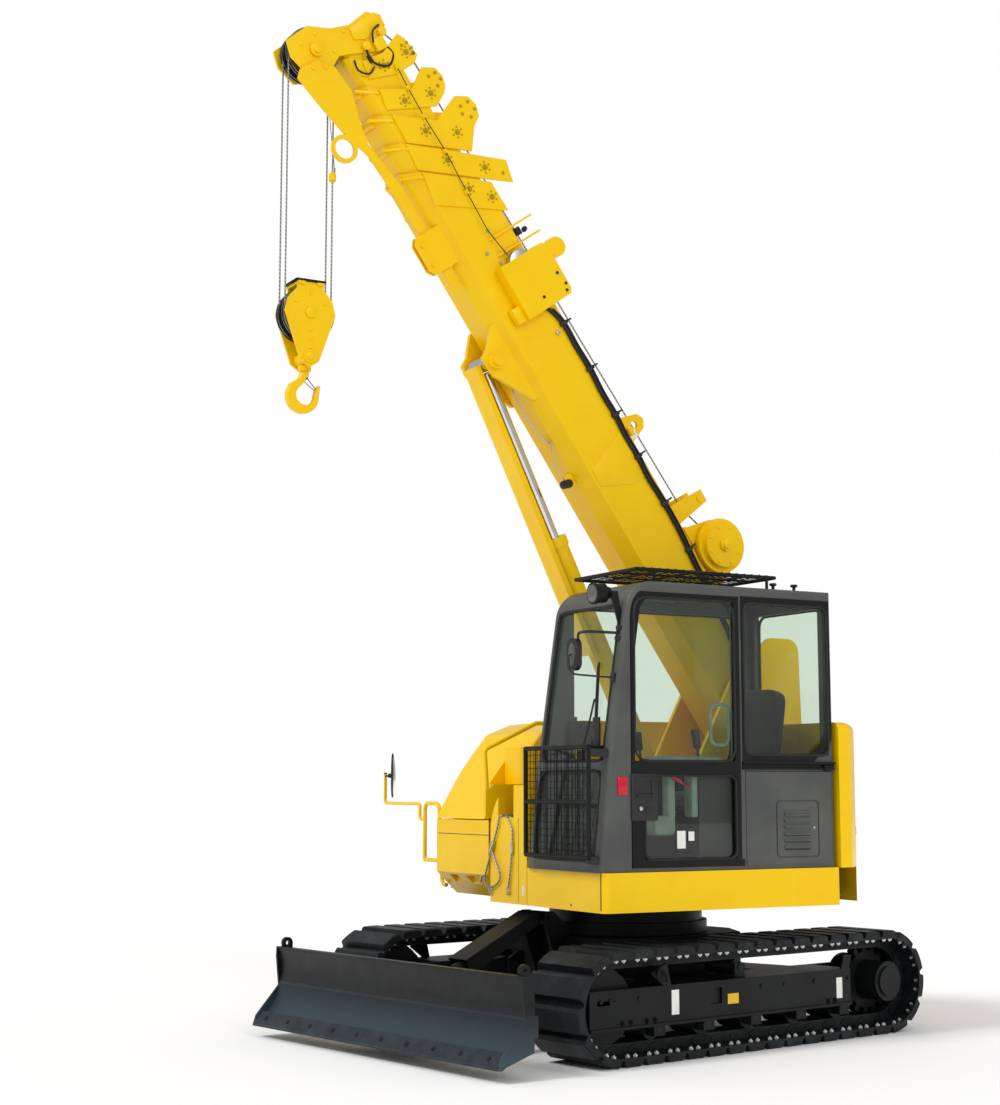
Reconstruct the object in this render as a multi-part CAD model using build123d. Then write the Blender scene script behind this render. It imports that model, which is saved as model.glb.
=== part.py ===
from build123d import *
import os
from math import cos, hypot, pi, radians, sin

# Compact crawler crane: two short tracks with a blade in front, and above them a slewing
# deck with a cab on the left, a covered tank on the right, a counterweight behind and a
# six-part telescopic boom in the middle.
# Millimetres. +Z up, forward is -Y, the machine's left is +X, the ground is Z = 0 and the
# slew axis is X = Y = 0. Everything above the slew ring is modelled pointing straight ahead
# and is turned by SLEW_ANGLE when it is written, because the crane stands turned like that.

# Clearances
SEAT_GAP = 0.3
PIN_GAP = 0.5
BODY_GAP = 6.0

# Running gear
TRACK_GAUGE = 1870.0
SHOE_WIDTH = 450.0
WHEELBASE = 2235.0
TRACK_RADIUS = 305.0
SHOE_HEIGHT = 38.0
SHOE_PLATE = 12.0
SHOE_COUNT = 39
LINK_HEIGHT = 58.0
LINK_WIDTH = 42.0
LINK_SPACING = 150.0
ROLLER_COUNT = 5
ROLLER_RADIUS = 62.0
CARRIER_RADIUS = 45.0
CARRIER_Y = -100.0
ROLLER_AXLE = 17.0
IDLER_AXLE = 34.0
FLANGE_HALF = 48.0
FLANGE_LIFT = 20.0
SPROCKET_TEETH = 15
DRIVE_RADIUS = 118.0
DRIVE_OUT = 190.0
MOTOR_RADIUS = 108.0
FRAME_HALF = 165.0
FRAME_PLATE = 14.0
FRAME_LIP = 12.0
FRAME_TOP = 400.0
FRAME_BELLY = 248.0
FRAME_BOTTOM = 190.0
FRAME_FRONT = -1290.0
FRAME_REAR = 800.0
CARBODY_TOP = 600.0
CARBODY_BOTTOM = 330.0
RING_RADIUS = 470.0
RING_BORE = 360.0
RING_BASE = 670.0
RING_TOP = 770.0

# y from, y to, z from, z to, depth of the openings in a side frame
FRAME_CUTS = [(-1235.0, -1113.0, 322.0, 346.0, 15.0), (-384.0, -294.0, 274.0, 363.0, 15.0)]
FRAME_BRACE = [(-843.0, 470.0), (-721.0, 520.0), (-690.0, 399.0), (-745.0, 399.0)]
FRAME_LUG = [(720.0, 399.0), (745.0, 478.0), (812.0, 478.0), (790.0, 399.0)]
SHOE_BEVEL = 12.0
SHOE_BEVEL_ANGLE = 38.0

# Blade
BLADE_HALF_WIDTH = 1160.0
BLADE_EDGE_Y = -1954.0
BLADE_EDGE_Z = 65.0
BLADE_TOP_Y = -1794.0
BLADE_TOP_Z = 518.0
BLADE_DEPTH = 95.0
BLADE_PLATE = 16.0
BLADE_PIVOT_Y = -660.0
BLADE_PIVOT_Z = 400.0
BLADE_ARM_X = 330.0
BLADE_ARM_WIDTH = 90.0
BLADE_PIN = 24.0
LIFT_TOP_Y = -715.0
LIFT_TOP_Z = 705.0
LIFT_EYE_Y = -1635.0
LIFT_EYE_Z = 275.0
LIFT_PIN = 18.0
LIFT_EYE_RADIUS = 40.0
LIFT_DRIFT = 9.5
SHACKLE_HOLE = 14.0
SHACKLE_RISE = 22.0
LIFT_LUG_X = 95.0
LIFT_EYE_X = 40.0
LIFT_BARREL = 640.0
LIFT_ROD = 22.0
LIFT_ROD_LENGTH = 560.0
LIFT_COVER_HALF = 84.0

# Deck and bodywork, in the upper works' own frame
SLEW_ANGLE = -10.0
DECK_BOTTOM = 785.0
DECK_TOP = 1000.0
DECK_LEFT = 1092.0
DECK_RIGHT = -1000.0
DECK_FRONT = -846.0
DECK_REAR = 1120.0
DECK_FRONT_INNER = 254.0
SKIRT = 45.0
SKIRT_LIP = 2.0
TAIL_RADIUS = 1410.0
CAB_RIGHT = 285.0
CAB_LEFT = 1070.0
CAB_FRONT_LOW = -865.0
CAB_FRONT_HIGH = -650.0
CAB_REAR = 790.0
CAB_ROOF = 2632.0
CAB_WALL = 40.0
CAB_SEAM = 1575.0
CAB_CORNER = 190.0
DOOR_FRONT = -650.0
DOOR_REAR = 105.0
GLASS = 6.0
HOOD_TOP = 1890.0
NOSE_LEFT = -215.0
NOSE_RIGHT = -900.0
NOSE_BACK = -700.0
NOSE_TOP = 1270.0
REAR_TOP = 1855.0
REAR_SEAM = 1640.0
ENGINE_REAR = 1000.0
ARCH_TOP = 1482.0
ARCH_RADIUS = 290.0
CRADLE_FLOOR = 1290.0
POCKET_X = -500.0
POCKET_FLOOR = 1488.0
POCKET_BACK = -572.0
POCKET_TOP = 1718.0
CURB = 30.0
CURB_TOP = 1460.0
CAB_EDGE = 26.0
WORK_LAMP = (950.0, -745.0, 2560.0)
DOOR_INSET = 31.0
WINDOW_INSET = 88.0
TAIL_ROUND = 55.0
HATCH = (350.0, 665.0, 1064.0, 1396.0)
SLAT_COUNT = 6

# Boom, measured along it (s) and across it (v) from the foot pin
FOOT_Y = 820.0
FOOT_Z = 2060.0
BOOM_ANGLE = 55.0
BOOM_HALF_WIDTH = 190.0
BOOM_TOP = 215.0
BOOM_SIDE_LOW = -195.0
BOOM_BOTTOM = -260.0
BOOM_FLAT = 100.0
BOOM_EDGE = 25.0
BOOM_WALL = 7.0
BOOM_GAP = 13.0
PAD_GAP = 0.4
BOOM_LENGTH = 4774.0
BASE_START = -170.0
MOUTH_BACK = 30.0
SECTION_STEP = 200.0
END_SLANT = 0.648
COLLAR_PLATE = 12.0
BRACKET_X = 232.0
BRACKET_PLATE = 28.0
FOOT_PIN = 45.0
BRACKET_REAR = 1200.0
LUFF_S = 2663.0
LUFF_V = -363.0
CYL_FOOT_Y = 310.0
CYL_FOOT_Z = 1300.0
FOOT_LUG_X = 88.0
FLOOR_TOP = 1025.0
BARREL_RADIUS = 72.0
BARREL_BORE = 58.0
BARREL_LENGTH = 1885.0
ROD_RADIUS = 38.0
ROD_LENGTH = 1620.0
LUFF_EYE = 58.0
LUFF_PIN = 30.0
GUARD_HALF = 75.0
GUARD_LENGTH = 1900.0
GUARD_OFF = 92.0
EAR_X = 118.0
EAR_PLATE = 30.0

# Winch and rigging
WINCH_S = 891.0
WINCH_V = 369.0
WINCH_COVER = 175.0
DRUM_RADIUS = 126.0
DRUM_SHAFT = 40.0
DRUM_HALF = 150.0
HEAD_V = -332.0
SHEAVE_RADIUS = 160.0
SHEAVE_PITCH = 145.0
GROOVE_WIDTH = 18.0
SHEAVE_BORE = 32.0
SHEAVE_WIDTH = 34.0
SHEAVE_X = 42.0
HEAD_PLATE = 18.0
STRIP_X = 118.0
STRIP_BACK = 467.0
STRIP_PLATE = 14.0
ROPE_RADIUS = 5.0
BLOCK_DROP = 1580.0
BLOCK_PLATE_X = 80.0
BLOCK_PLATE = 16.0
TRUNNION = 40.0
TRUNNION_DROP = 258.0
HOOK_DROP = 475.0
HOOK_SHANK = 24.0
HOOK_INNER = 57.0
HOOK_OUTER = 100.0
HOOK_HALF = 24.0
HOOK_ROUND = 8.0
LUG_HOLE = 25.0

os.makedirs("parts", exist_ok=True)


def box(x0, x1, y0, y1, z0, z1):
    """A block between two corners."""
    return Pos((x0 + x1) / 2, (y0 + y1) / 2, (z0 + z1) / 2) * Box(x1 - x0, y1 - y0, z1 - z0)


def bar(p, q, radius):
    """A round bar from p to q."""
    axis = Vector(*q) - Vector(*p)
    return Plane(origin=p, z_dir=axis) * extrude(Circle(radius), axis.length)


def ring(p, q, outer, inner):
    """A round tube from p to q."""
    axis = Vector(*q) - Vector(*p)
    return Plane(origin=p, z_dir=axis) * extrude(Circle(outer) - Circle(inner), axis.length)


def x_plane(x0):
    """The drawing plane of (y, z) outlines that are extruded towards +X from x0."""
    return Plane(origin=(x0, 0, 0), x_dir=(0, 1, 0), z_dir=(1, 0, 0))


def x_bar(y, z, x0, x1, radius, bore=0.0):
    """A bar or bushed bar along X."""
    face = Circle(radius) - Circle(bore) if bore else Circle(radius)
    return Plane(origin=(x0, y, z), x_dir=(0, 1, 0), z_dir=(1, 0, 0)) * extrude(face, x1 - x0)


def outline(points, radii=None):
    """A closed face through points; radii maps a point's index to its corner radius."""
    area = sum(a[0] * b[1] - b[0] * a[1] for a, b in zip(points, points[1:] + points[:1]))
    ordered = points if area > 0 else points[::-1]
    face = make_face(Polyline(*ordered, close=True))
    for index, radius in (radii or {}).items():
        corner = Vector(*points[index])
        vertex = min(face.vertices(), key=lambda v: (Vector(*v) - corner).length)
        face = fillet(vertex, radius)
    return face


def side_plate(points, x0, x1, radii=None):
    """A plate cut to (y, z) points and extruded along X."""
    return x_plane(x0) * extrude(outline(points, radii), x1 - x0)


def front_plate(points, y0, y1, radii=None):
    """A plate cut to (x, z) points and extruded along Y."""
    plane = Plane(origin=(0, y1, 0), x_dir=(1, 0, 0), z_dir=(0, -1, 0))
    return plane * extrude(outline(points, radii), y1 - y0)


def level_plate(points, z0, z1, radii=None):
    """A plate cut to (x, y) points and extruded up."""
    return Pos(0, 0, z0) * extrude(outline(points, radii), z1 - z0)


def pipe(points, radius, bend):
    """A bent tube through points, with one bend radius."""
    path = FilletPolyline(*points, radius=bend)
    return sweep(Plane(path @ 0, z_dir=path % 0) * Circle(radius), path=path)


# The boom's own directions
ALONG = (0.0, -cos(radians(BOOM_ANGLE)), sin(radians(BOOM_ANGLE)))
ACROSS = (0.0, sin(radians(BOOM_ANGLE)), cos(radians(BOOM_ANGLE)))


def boom_yz(s, v):
    """The (y, z) place of a point given along and across the boom."""
    return (FOOT_Y + s * ALONG[1] + v * ACROSS[1], FOOT_Z + s * ALONG[2] + v * ACROSS[2])


def boom_plate(points, x0, x1, radii=None):
    """A plate cut to (s, v) points and extruded along X."""
    return side_plate([boom_yz(s, v) for s, v in points], x0, x1, radii)


def boom_extrude(face, s0, s1):
    """A face drawn in (x, v), extruded along the boom from s0 to s1."""
    y, z = boom_yz(s0, 0.0)
    return Plane(origin=(0, y, z), x_dir=(1, 0, 0), z_dir=ALONG) * extrude(face, s1 - s0)


def boom_bar(s, v, x0, x1, radius, bore=0.0):
    y, z = boom_yz(s, v)
    return x_bar(y, z, x0, x1, radius, bore)


def joined(*pieces):
    """Pieces that don't need cutting, as one shape."""
    return Compound(children=[solid for piece in pieces for solid in piece.solids()])


# Running gear
TRACK_X = TRACK_GAUGE / 2
TRACK_CENTRE_Z = TRACK_RADIUS
PITCH_RADIUS = TRACK_RADIUS - SHOE_HEIGHT
LOOP_LENGTH = 2 * WHEELBASE + 2 * pi * PITCH_RADIUS
RAIL_INNER = PITCH_RADIUS - SHOE_PLATE - LINK_HEIGHT


def loop_point(t, lift):
    """A point on the track loop: t along the pitch line from the front of the lower run."""
    t = t % LOOP_LENGTH
    arc = pi * PITCH_RADIUS
    r = PITCH_RADIUS + lift
    if t < WHEELBASE:
        return (-WHEELBASE / 2 + t, TRACK_CENTRE_Z - r)
    if t < WHEELBASE + arc:
        turn = (t - WHEELBASE) / PITCH_RADIUS
        return (WHEELBASE / 2 + r * sin(turn), TRACK_CENTRE_Z - r * cos(turn))
    if t < 2 * WHEELBASE + arc:
        return (WHEELBASE / 2 - (t - WHEELBASE - arc), TRACK_CENTRE_Z + r)
    turn = (t - 2 * WHEELBASE - arc) / PITCH_RADIUS
    return (-WHEELBASE / 2 - r * sin(turn), TRACK_CENTRE_Z + r * cos(turn))


def slot_face(radius):
    """The rounded slot that runs round both wheels at this radius."""
    ends = [Pos(side * WHEELBASE / 2, TRACK_CENTRE_Z) * Circle(radius) for side in (-1, 1)]
    return ends[0] + ends[1] + Pos(0, TRACK_CENTRE_Z) * Rectangle(WHEELBASE, 2 * radius)


# share of the pitch, height above the pitch line
SHOE_PROFILE = [
    (0.05, 0.0), (0.12, SHOE_HEIGHT - 9), (0.24, SHOE_HEIGHT), (0.84, SHOE_HEIGHT), (0.94, 0.0)
]


def make_track(side):
    """One closed belt: shoes in its outline and two link rails inside."""
    pitch = LOOP_LENGTH / SHOE_COUNT
    start = WHEELBASE / 2
    points = [
        loop_point(
            start + (i + share) * pitch, lift
        ) for i in range(SHOE_COUNT) for share, lift in SHOE_PROFILE
    ]
    shoes = make_face(Polyline(*points, close=True)) - slot_face(PITCH_RADIUS - SHOE_PLATE)
    track = x_plane(side * TRACK_X - SHOE_WIDTH / 2) * extrude(shoes, SHOE_WIDTH)
    limit = slot_face(PITCH_RADIUS + SHOE_HEIGHT)
    half = SHOE_WIDTH / 2 - SHOE_BEVEL
    middle = x_plane(side * TRACK_X - half) * extrude(limit, 2 * half)
    cap = extrude(limit, SHOE_BEVEL, taper=SHOE_BEVEL_ANGLE)
    ends = x_plane(side * TRACK_X + half) * cap
    ends += Plane(
        origin=(side * TRACK_X - half, 0, 0), x_dir=(0, 1, 0), z_dir=(-1, 0, 0)
    ) * (mirror(cap, Plane.XZ))
    track &= middle + ends
    rail = slot_face(PITCH_RADIUS - SHOE_PLATE) - slot_face(RAIL_INNER)
    for offset in (-LINK_SPACING / 2, LINK_SPACING / 2):
        track += x_plane(side * TRACK_X + offset - LINK_WIDTH / 2) * extrude(rail, LINK_WIDTH)
    return track


WHEEL_GAP = SEAT_GAP
WHEEL_RADIUS = RAIL_INNER - WHEEL_GAP
ROLLER_Z = TRACK_CENTRE_Z - RAIL_INNER + WHEEL_GAP + ROLLER_RADIUS
WHEEL_WIDTH = LINK_SPACING + LINK_WIDTH
CARRIER_Z = TRACK_CENTRE_Z + RAIL_INNER - WHEEL_GAP - CARRIER_RADIUS


def between(a, b):
    """The two ends in rising order."""
    return (a, b) if a < b else (b, a)


def make_idlers():
    wheels = []
    for side in (-1, 1):
        x = side * TRACK_X
        y = -WHEELBASE / 2
        tread = x_bar(y, TRACK_CENTRE_Z, x - WHEEL_WIDTH / 2, x + WHEEL_WIDTH / 2, WHEEL_RADIUS)
        flange = x_bar(y, TRACK_CENTRE_Z, x - FLANGE_HALF, x + FLANGE_HALF, WHEEL_RADIUS + FLANGE_LIFT)
        axle = x_bar(y, TRACK_CENTRE_Z, x - FRAME_HALF, x + FRAME_HALF, IDLER_AXLE)
        wheels.append(tread + flange + axle)
    return joined(*wheels)


def make_sprockets():
    """Toothed rims with the final drive's cover outside and its motor inside."""
    wheels = []
    for side in (-1, 1):
        x = side * TRACK_X
        y = WHEELBASE / 2
        disc = Circle(WHEEL_RADIUS - 26)
        for i in range(SPROCKET_TEETH):
            disc += Rot(0, 0, i * 360 / SPROCKET_TEETH) * Pos(WHEEL_RADIUS - 32, 0) * Rectangle(90, 34)
        rim = Plane(
            origin=(x - 26, y, TRACK_CENTRE_Z), x_dir=(0, 1, 0), z_dir=(1, 0, 0)
        ) * extrude(disc, 52)
        cover = x_bar(y, TRACK_CENTRE_Z, *between(x, x + side * DRIVE_OUT), DRIVE_RADIUS)
        cap = x_bar(y, TRACK_CENTRE_Z, *between(x, x + side * (DRIVE_OUT + 12)), DRIVE_RADIUS - 30)
        motor = x_bar(y, TRACK_CENTRE_Z, *between(x - side * DRIVE_OUT, x), MOTOR_RADIUS)
        wheels.append(rim + cover + cap + motor)
    return joined(*wheels)


def roller_places():
    """The y of every lower roller."""
    first = FRAME_FRONT + 510
    last = FRAME_REAR - 60
    return [first + (last - first) * i / (ROLLER_COUNT - 1) for i in range(ROLLER_COUNT)]


def make_rollers():
    rollers = []
    for side in (-1, 1):
        x = side * TRACK_X
        for y in roller_places():
            tread = x_bar(y, ROLLER_Z, x - WHEEL_WIDTH / 2, x + WHEEL_WIDTH / 2, ROLLER_RADIUS)
            rollers.append(tread + x_bar(y, ROLLER_Z, x - FRAME_HALF, x + FRAME_HALF, ROLLER_AXLE))
        wheel = x_bar(CARRIER_Y, CARRIER_Z, x - WHEEL_WIDTH / 2, x + WHEEL_WIDTH / 2, CARRIER_RADIUS)
        rollers.append(wheel + x_bar(CARRIER_Y, CARRIER_Z, x - 125, x + 125, ROLLER_AXLE))
    return joined(*rollers)


def make_side_frame(side):
    """A box girder between the wheels, with a fork for the idler and hangers for the rollers."""
    x = side * TRACK_X
    frame = box(x - FRAME_HALF, x + FRAME_HALF, FRAME_FRONT + 440, FRAME_REAR, FRAME_BELLY, FRAME_TOP)
    for edge in (-1, 1):
        low, high = between(x + edge * (FRAME_HALF - FRAME_PLATE), x + edge * FRAME_HALF)
        frame += box(low, high, FRAME_FRONT, FRAME_REAR, FRAME_BOTTOM, FRAME_TOP)
        lip_low, lip_high = between(x + edge * FRAME_HALF, x + edge * (FRAME_HALF + FRAME_LIP))
        frame += box(lip_low, lip_high, FRAME_FRONT, FRAME_REAR, FRAME_BOTTOM, FRAME_BOTTOM + 14)
        frame -= x_bar(-WHEELBASE / 2, TRACK_CENTRE_Z, low - 1, high + 1, IDLER_AXLE + PIN_GAP)
        hang_low, hang_high = between(x + edge * (WHEEL_WIDTH / 2 + 8), x + edge * FRAME_HALF)
        for y in roller_places():
            frame += box(hang_low, hang_high, y - 42, y + 42, ROLLER_Z - 34, FRAME_BELLY + 1)
            frame -= x_bar(y, ROLLER_Z, hang_low - 1, hang_high + 1, ROLLER_AXLE + PIN_GAP)
        arm_low, arm_high = between(x + edge * (WHEEL_WIDTH / 2 + 8), x + edge * (WHEEL_WIDTH / 2 + 22))
        frame += box(arm_low, arm_high, CARRIER_Y - 40, CARRIER_Y + 40, FRAME_TOP - 1, CARRIER_Z + 24)
        frame -= x_bar(CARRIER_Y, CARRIER_Z, arm_low - 1, arm_high + 1, ROLLER_AXLE + PIN_GAP)
    # openings in the outer plate, and the braces on top of it
    face = x + side * FRAME_HALF
    for y0, y1, z0, z1, depth in FRAME_CUTS:
        low, high = between(face - side * depth, face + side)
        frame -= box(low, high, y0, y1, z0, z1)
    low, high = between(face - side * FRAME_PLATE, face)
    for points in (FRAME_BRACE, FRAME_LUG):
        frame += side_plate(points, low, high)
    # motor bracket on the inner side
    low, high = between(x - side * FRAME_HALF, x - side * (FRAME_HALF - 26))
    bracket = box(low, high, FRAME_REAR - 60, WHEELBASE / 2, TRACK_CENTRE_Z - 115, TRACK_CENTRE_Z + 95)
    bracket += x_bar(WHEELBASE / 2, TRACK_CENTRE_Z, low, high, MOTOR_RADIUS + 40)
    bracket -= x_bar(WHEELBASE / 2, TRACK_CENTRE_Z, low - 1, high + 1, MOTOR_RADIUS + PIN_GAP)
    return frame + bracket


def make_carbody():
    """The cross frame between the tracks, with lugs in front for the blade's arms and cylinder."""
    body = level_plate(
        [
            (-560, -430),
            (-420, -600),
            (420, -600),
            (560, -430),
            (560, 430),
            (300, 600),
            (-300, 600),
            (-560, 430),
        ],
        CARBODY_BOTTOM,
        CARBODY_TOP,
    )
    inner = TRACK_X - FRAME_HALF - SEAT_GAP
    for sx in (-1, 1):
        for sy in (-1, 1):
            leg = level_plate(
                [
                    (sx * 400, sy * 100),
                    (sx * inner, sy * 330),
                    (sx * inner, sy * 640),
                    (sx * 300, sy * 540),
                ],
                CARBODY_BOTTOM - 60,
                FRAME_TOP,
            )
            body += leg
    body += Pos(0, 0, CARBODY_TOP) * extrude(Circle(RING_RADIUS + 30), RING_BASE - CARBODY_TOP)
    for sx in (-1, 1):
        x0, x1 = between(sx * LIFT_LUG_X, sx * (LIFT_LUG_X + 24))
        body += side_plate(
            [
                (LIFT_TOP_Y - 45, LIFT_TOP_Z - 10),
                (LIFT_TOP_Y - 25, LIFT_TOP_Z + 40),
                (LIFT_TOP_Y + 30, LIFT_TOP_Z + 40),
                (-560, CARBODY_TOP + 30),
                (-560, CARBODY_BOTTOM + 40),
                (-640, CARBODY_BOTTOM + 40),
            ],
            x0,
            x1,
        )
        for offset in (-BLADE_ARM_WIDTH / 2 - 5, BLADE_ARM_WIDTH / 2 + 5):
            x2, x3 = between(
                sx * BLADE_ARM_X + offset, sx * BLADE_ARM_X + offset + (22 if offset > 0 else -22)
            )
            body += side_plate(
                [
                    (BLADE_PIVOT_Y - 55, BLADE_PIVOT_Z - 50),
                    (BLADE_PIVOT_Y - 55, BLADE_PIVOT_Z + 50),
                    (BLADE_PIVOT_Y + 20, BLADE_PIVOT_Z + 90),
                    (-500, BLADE_PIVOT_Z + 90),
                    (-500, BLADE_PIVOT_Z - 60),
                ],
                x2,
                x3,
            )
        body += x_bar(
            BLADE_PIVOT_Y,
            BLADE_PIVOT_Z,
            sx * BLADE_ARM_X - BLADE_ARM_WIDTH / 2 - 40,
            sx * BLADE_ARM_X + BLADE_ARM_WIDTH / 2 + 40,
            BLADE_PIN,
        )
    body += x_bar(LIFT_TOP_Y, LIFT_TOP_Z, -LIFT_LUG_X - 34, LIFT_LUG_X + 34, LIFT_PIN)
    return body


def make_slew_ring():
    ring_face = Circle(RING_RADIUS) - Circle(RING_BORE)
    return Pos(0, 0, RING_BASE + SEAT_GAP) * extrude(ring_face, RING_TOP - RING_BASE - SEAT_GAP)


# Blade
BLADE_MID_Y = (BLADE_EDGE_Y + BLADE_TOP_Y) / 2 + BLADE_DEPTH
BLADE_MID_Z = (BLADE_EDGE_Z + BLADE_TOP_Z) / 2
BLADE_BACK_Y = BLADE_MID_Y + 86
# distance along the cylinder, height across it
LIFT_COVER_SIDE = [(48, -5), (48, 66), (LIFT_BARREL - 10, 66), (LIFT_BARREL - 10, -35)]


def make_blade():
    """A concave plate with a cutting edge, closed ends and lugs for its cylinder."""
    front = ThreePointArc(
        (BLADE_EDGE_Y, BLADE_EDGE_Z), (BLADE_MID_Y, BLADE_MID_Z), (BLADE_TOP_Y, BLADE_TOP_Z)
    )
    back = ThreePointArc(
        (BLADE_TOP_Y + BLADE_PLATE + 4, BLADE_TOP_Z),
        (BLADE_MID_Y + BLADE_PLATE, BLADE_MID_Z),
        (BLADE_EDGE_Y + BLADE_PLATE + 12, BLADE_EDGE_Z),
    )
    face = make_face([front, Line(front @ 1, back @ 0), back, Line(back @ 1, front @ 0)])
    sheet = x_plane(-BLADE_HALF_WIDTH) * extrude(face, 2 * BLADE_HALF_WIDTH, dir=(0, 0, 1))
    end_points = [
        (BLADE_EDGE_Y, BLADE_EDGE_Z),
        (BLADE_BACK_Y - 25, BLADE_EDGE_Z + 70),
        (BLADE_BACK_Y - 25, BLADE_TOP_Z - 20),
        (BLADE_TOP_Y + 20, BLADE_TOP_Z),
        (BLADE_TOP_Y, BLADE_TOP_Z),
        (BLADE_TOP_Y - 2, BLADE_TOP_Z - 60),
        (BLADE_MID_Y, BLADE_MID_Z),
        (BLADE_EDGE_Y + 20, BLADE_EDGE_Z + 60),
    ]
    for x in (-BLADE_HALF_WIDTH, BLADE_HALF_WIDTH - 14):
        sheet += side_plate(end_points, x, x + 14)
    sheet += box(
        -BLADE_HALF_WIDTH,
        BLADE_HALF_WIDTH,
        BLADE_MID_Y + 2,
        BLADE_BACK_Y,
        BLADE_MID_Z - 85,
        BLADE_MID_Z + 25,
    )
    sheet += box(
        -BLADE_HALF_WIDTH,
        BLADE_HALF_WIDTH,
        BLADE_TOP_Y + 4,
        BLADE_TOP_Y + 40,
        BLADE_TOP_Z - 16,
        BLADE_TOP_Z,
    )
    for side in (-1, 1):
        x0, x1 = between(side * (LIFT_EYE_X + 5), side * (LIFT_EYE_X + 27))
        sheet += side_plate(
            [
                (BLADE_BACK_Y - 20, LIFT_EYE_Z - 75),
                (LIFT_EYE_Y + 30, LIFT_EYE_Z - 40),
                (LIFT_EYE_Y + 38, LIFT_EYE_Z + 15),
                (LIFT_EYE_Y, LIFT_EYE_Z + 38),
                (BLADE_BACK_Y - 20, LIFT_EYE_Z + 38),
            ],
            x0,
            x1,
        )
    sheet += x_bar(LIFT_EYE_Y, LIFT_EYE_Z, -LIFT_EYE_X - 34, LIFT_EYE_X + 34, LIFT_PIN)
    # shackle lug behind the top corner
    lug_y, lug_z = BLADE_TOP_Y + 45, BLADE_TOP_Z + SHACKLE_RISE
    for side in (-1, 1):
        x0, x1 = between(side * (BLADE_HALF_WIDTH - 60), side * (BLADE_HALF_WIDTH - 36))
        lug = x_bar(lug_y, lug_z, x0, x1, 34) + box(x0, x1, lug_y - 30, lug_y + 34, lug_z - 60, lug_z)
        sheet += lug - x_bar(lug_y, lug_z, x0 - 1, x1 + 1, SHACKLE_HOLE)
    return sheet


def make_blade_arms():
    """Two low arms between the blade's back and the cross frame."""
    arms = None
    for side in (-1, 1):
        x0 = side * BLADE_ARM_X - BLADE_ARM_WIDTH / 2
        arm = side_plate(
            [
                (BLADE_BACK_Y + SEAT_GAP, BLADE_MID_Z - 85),
                (BLADE_PIVOT_Y - 60, BLADE_PIVOT_Z - 60),
                (BLADE_PIVOT_Y + 30, BLADE_PIVOT_Z - 46),
                (BLADE_PIVOT_Y + 30, BLADE_PIVOT_Z + 46),
                (BLADE_PIVOT_Y - 60, BLADE_PIVOT_Z + 60),
                (BLADE_BACK_Y + SEAT_GAP, BLADE_MID_Z + 25),
            ],
            x0,
            x0 + BLADE_ARM_WIDTH,
        )
        arm -= x_bar(
            BLADE_PIVOT_Y, BLADE_PIVOT_Z, x0 - 1, x0 + BLADE_ARM_WIDTH + 1, BLADE_PIN + PIN_GAP
        )
        arms = arm if arms is None else arms + arm
    front, back, low = BLADE_BACK_Y + 10, BLADE_BACK_Y + 110, BLADE_MID_Z - 135
    arms += box(-BLADE_ARM_X, BLADE_ARM_X, front, back, low, low + 35)
    for x in (-BLADE_ARM_X, BLADE_ARM_X):
        arms += box(x - 30, x + 30, front, back, low, BLADE_MID_Z)
    return arms


LIFT_SPAN = hypot(LIFT_EYE_Y - LIFT_TOP_Y, LIFT_EYE_Z - LIFT_TOP_Z)
LIFT_DIR = ((LIFT_EYE_Y - LIFT_TOP_Y) / LIFT_SPAN, (LIFT_EYE_Z - LIFT_TOP_Z) / LIFT_SPAN)


def lift_point(d, up=0.0):
    """A point d along the blade cylinder from its upper pin, moved up across it."""
    return (
        0.0,
        LIFT_TOP_Y + d * LIFT_DIR[0] + up * LIFT_DIR[1],
        LIFT_TOP_Z + d * LIFT_DIR[1] - up * LIFT_DIR[0],
    )


def make_lift_barrel():
    """The blade cylinder's barrel; its channel cover rides with it."""
    barrel = ring(lift_point(60), lift_point(LIFT_BARREL), 46, 36)
    barrel += ring(lift_point(LIFT_BARREL), lift_point(LIFT_BARREL + 40), 50, LIFT_ROD + PIN_GAP)
    barrel += bar(lift_point(20), lift_point(80), 46)
    barrel += x_bar(LIFT_TOP_Y, LIFT_TOP_Z, -LIFT_LUG_X + 5, LIFT_LUG_X - 5, 40)
    return barrel - x_bar(LIFT_TOP_Y, LIFT_TOP_Z, -LIFT_LUG_X, LIFT_LUG_X, LIFT_PIN + PIN_GAP)


def make_lift_cover():
    """An upside-down channel over the blade cylinder."""
    outer = side_plate(
        [lift_point(d, up)[1:] for d, up in LIFT_COVER_SIDE], -LIFT_COVER_HALF, LIFT_COVER_HALF
    )
    inner = side_plate(
        [
            lift_point(d, up - 6)[1:] for d, up in LIFT_COVER_SIDE
        ], -LIFT_COVER_HALF + 6, LIFT_COVER_HALF - 6
    )
    cover = outer - inner
    for d in (180, LIFT_BARREL - 100):
        corners = [(d, 46 + SEAT_GAP), (d + 40, 46 + SEAT_GAP), (d + 40, 61), (d, 61)]
        cover += side_plate([lift_point(a, up)[1:] for a, up in corners], -30, 30)
    return cover


def make_lift_rod():
    rod = bar(lift_point(LIFT_SPAN - LIFT_ROD_LENGTH), lift_point(LIFT_SPAN - 15), LIFT_ROD)
    rod += x_bar(LIFT_EYE_Y, LIFT_EYE_Z, -LIFT_EYE_X, LIFT_EYE_X, LIFT_EYE_RADIUS)
    return rod - x_bar(LIFT_EYE_Y, LIFT_EYE_Z, -LIFT_EYE_X - 1, LIFT_EYE_X + 1, LIFT_PIN + LIFT_DRIFT)


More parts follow.
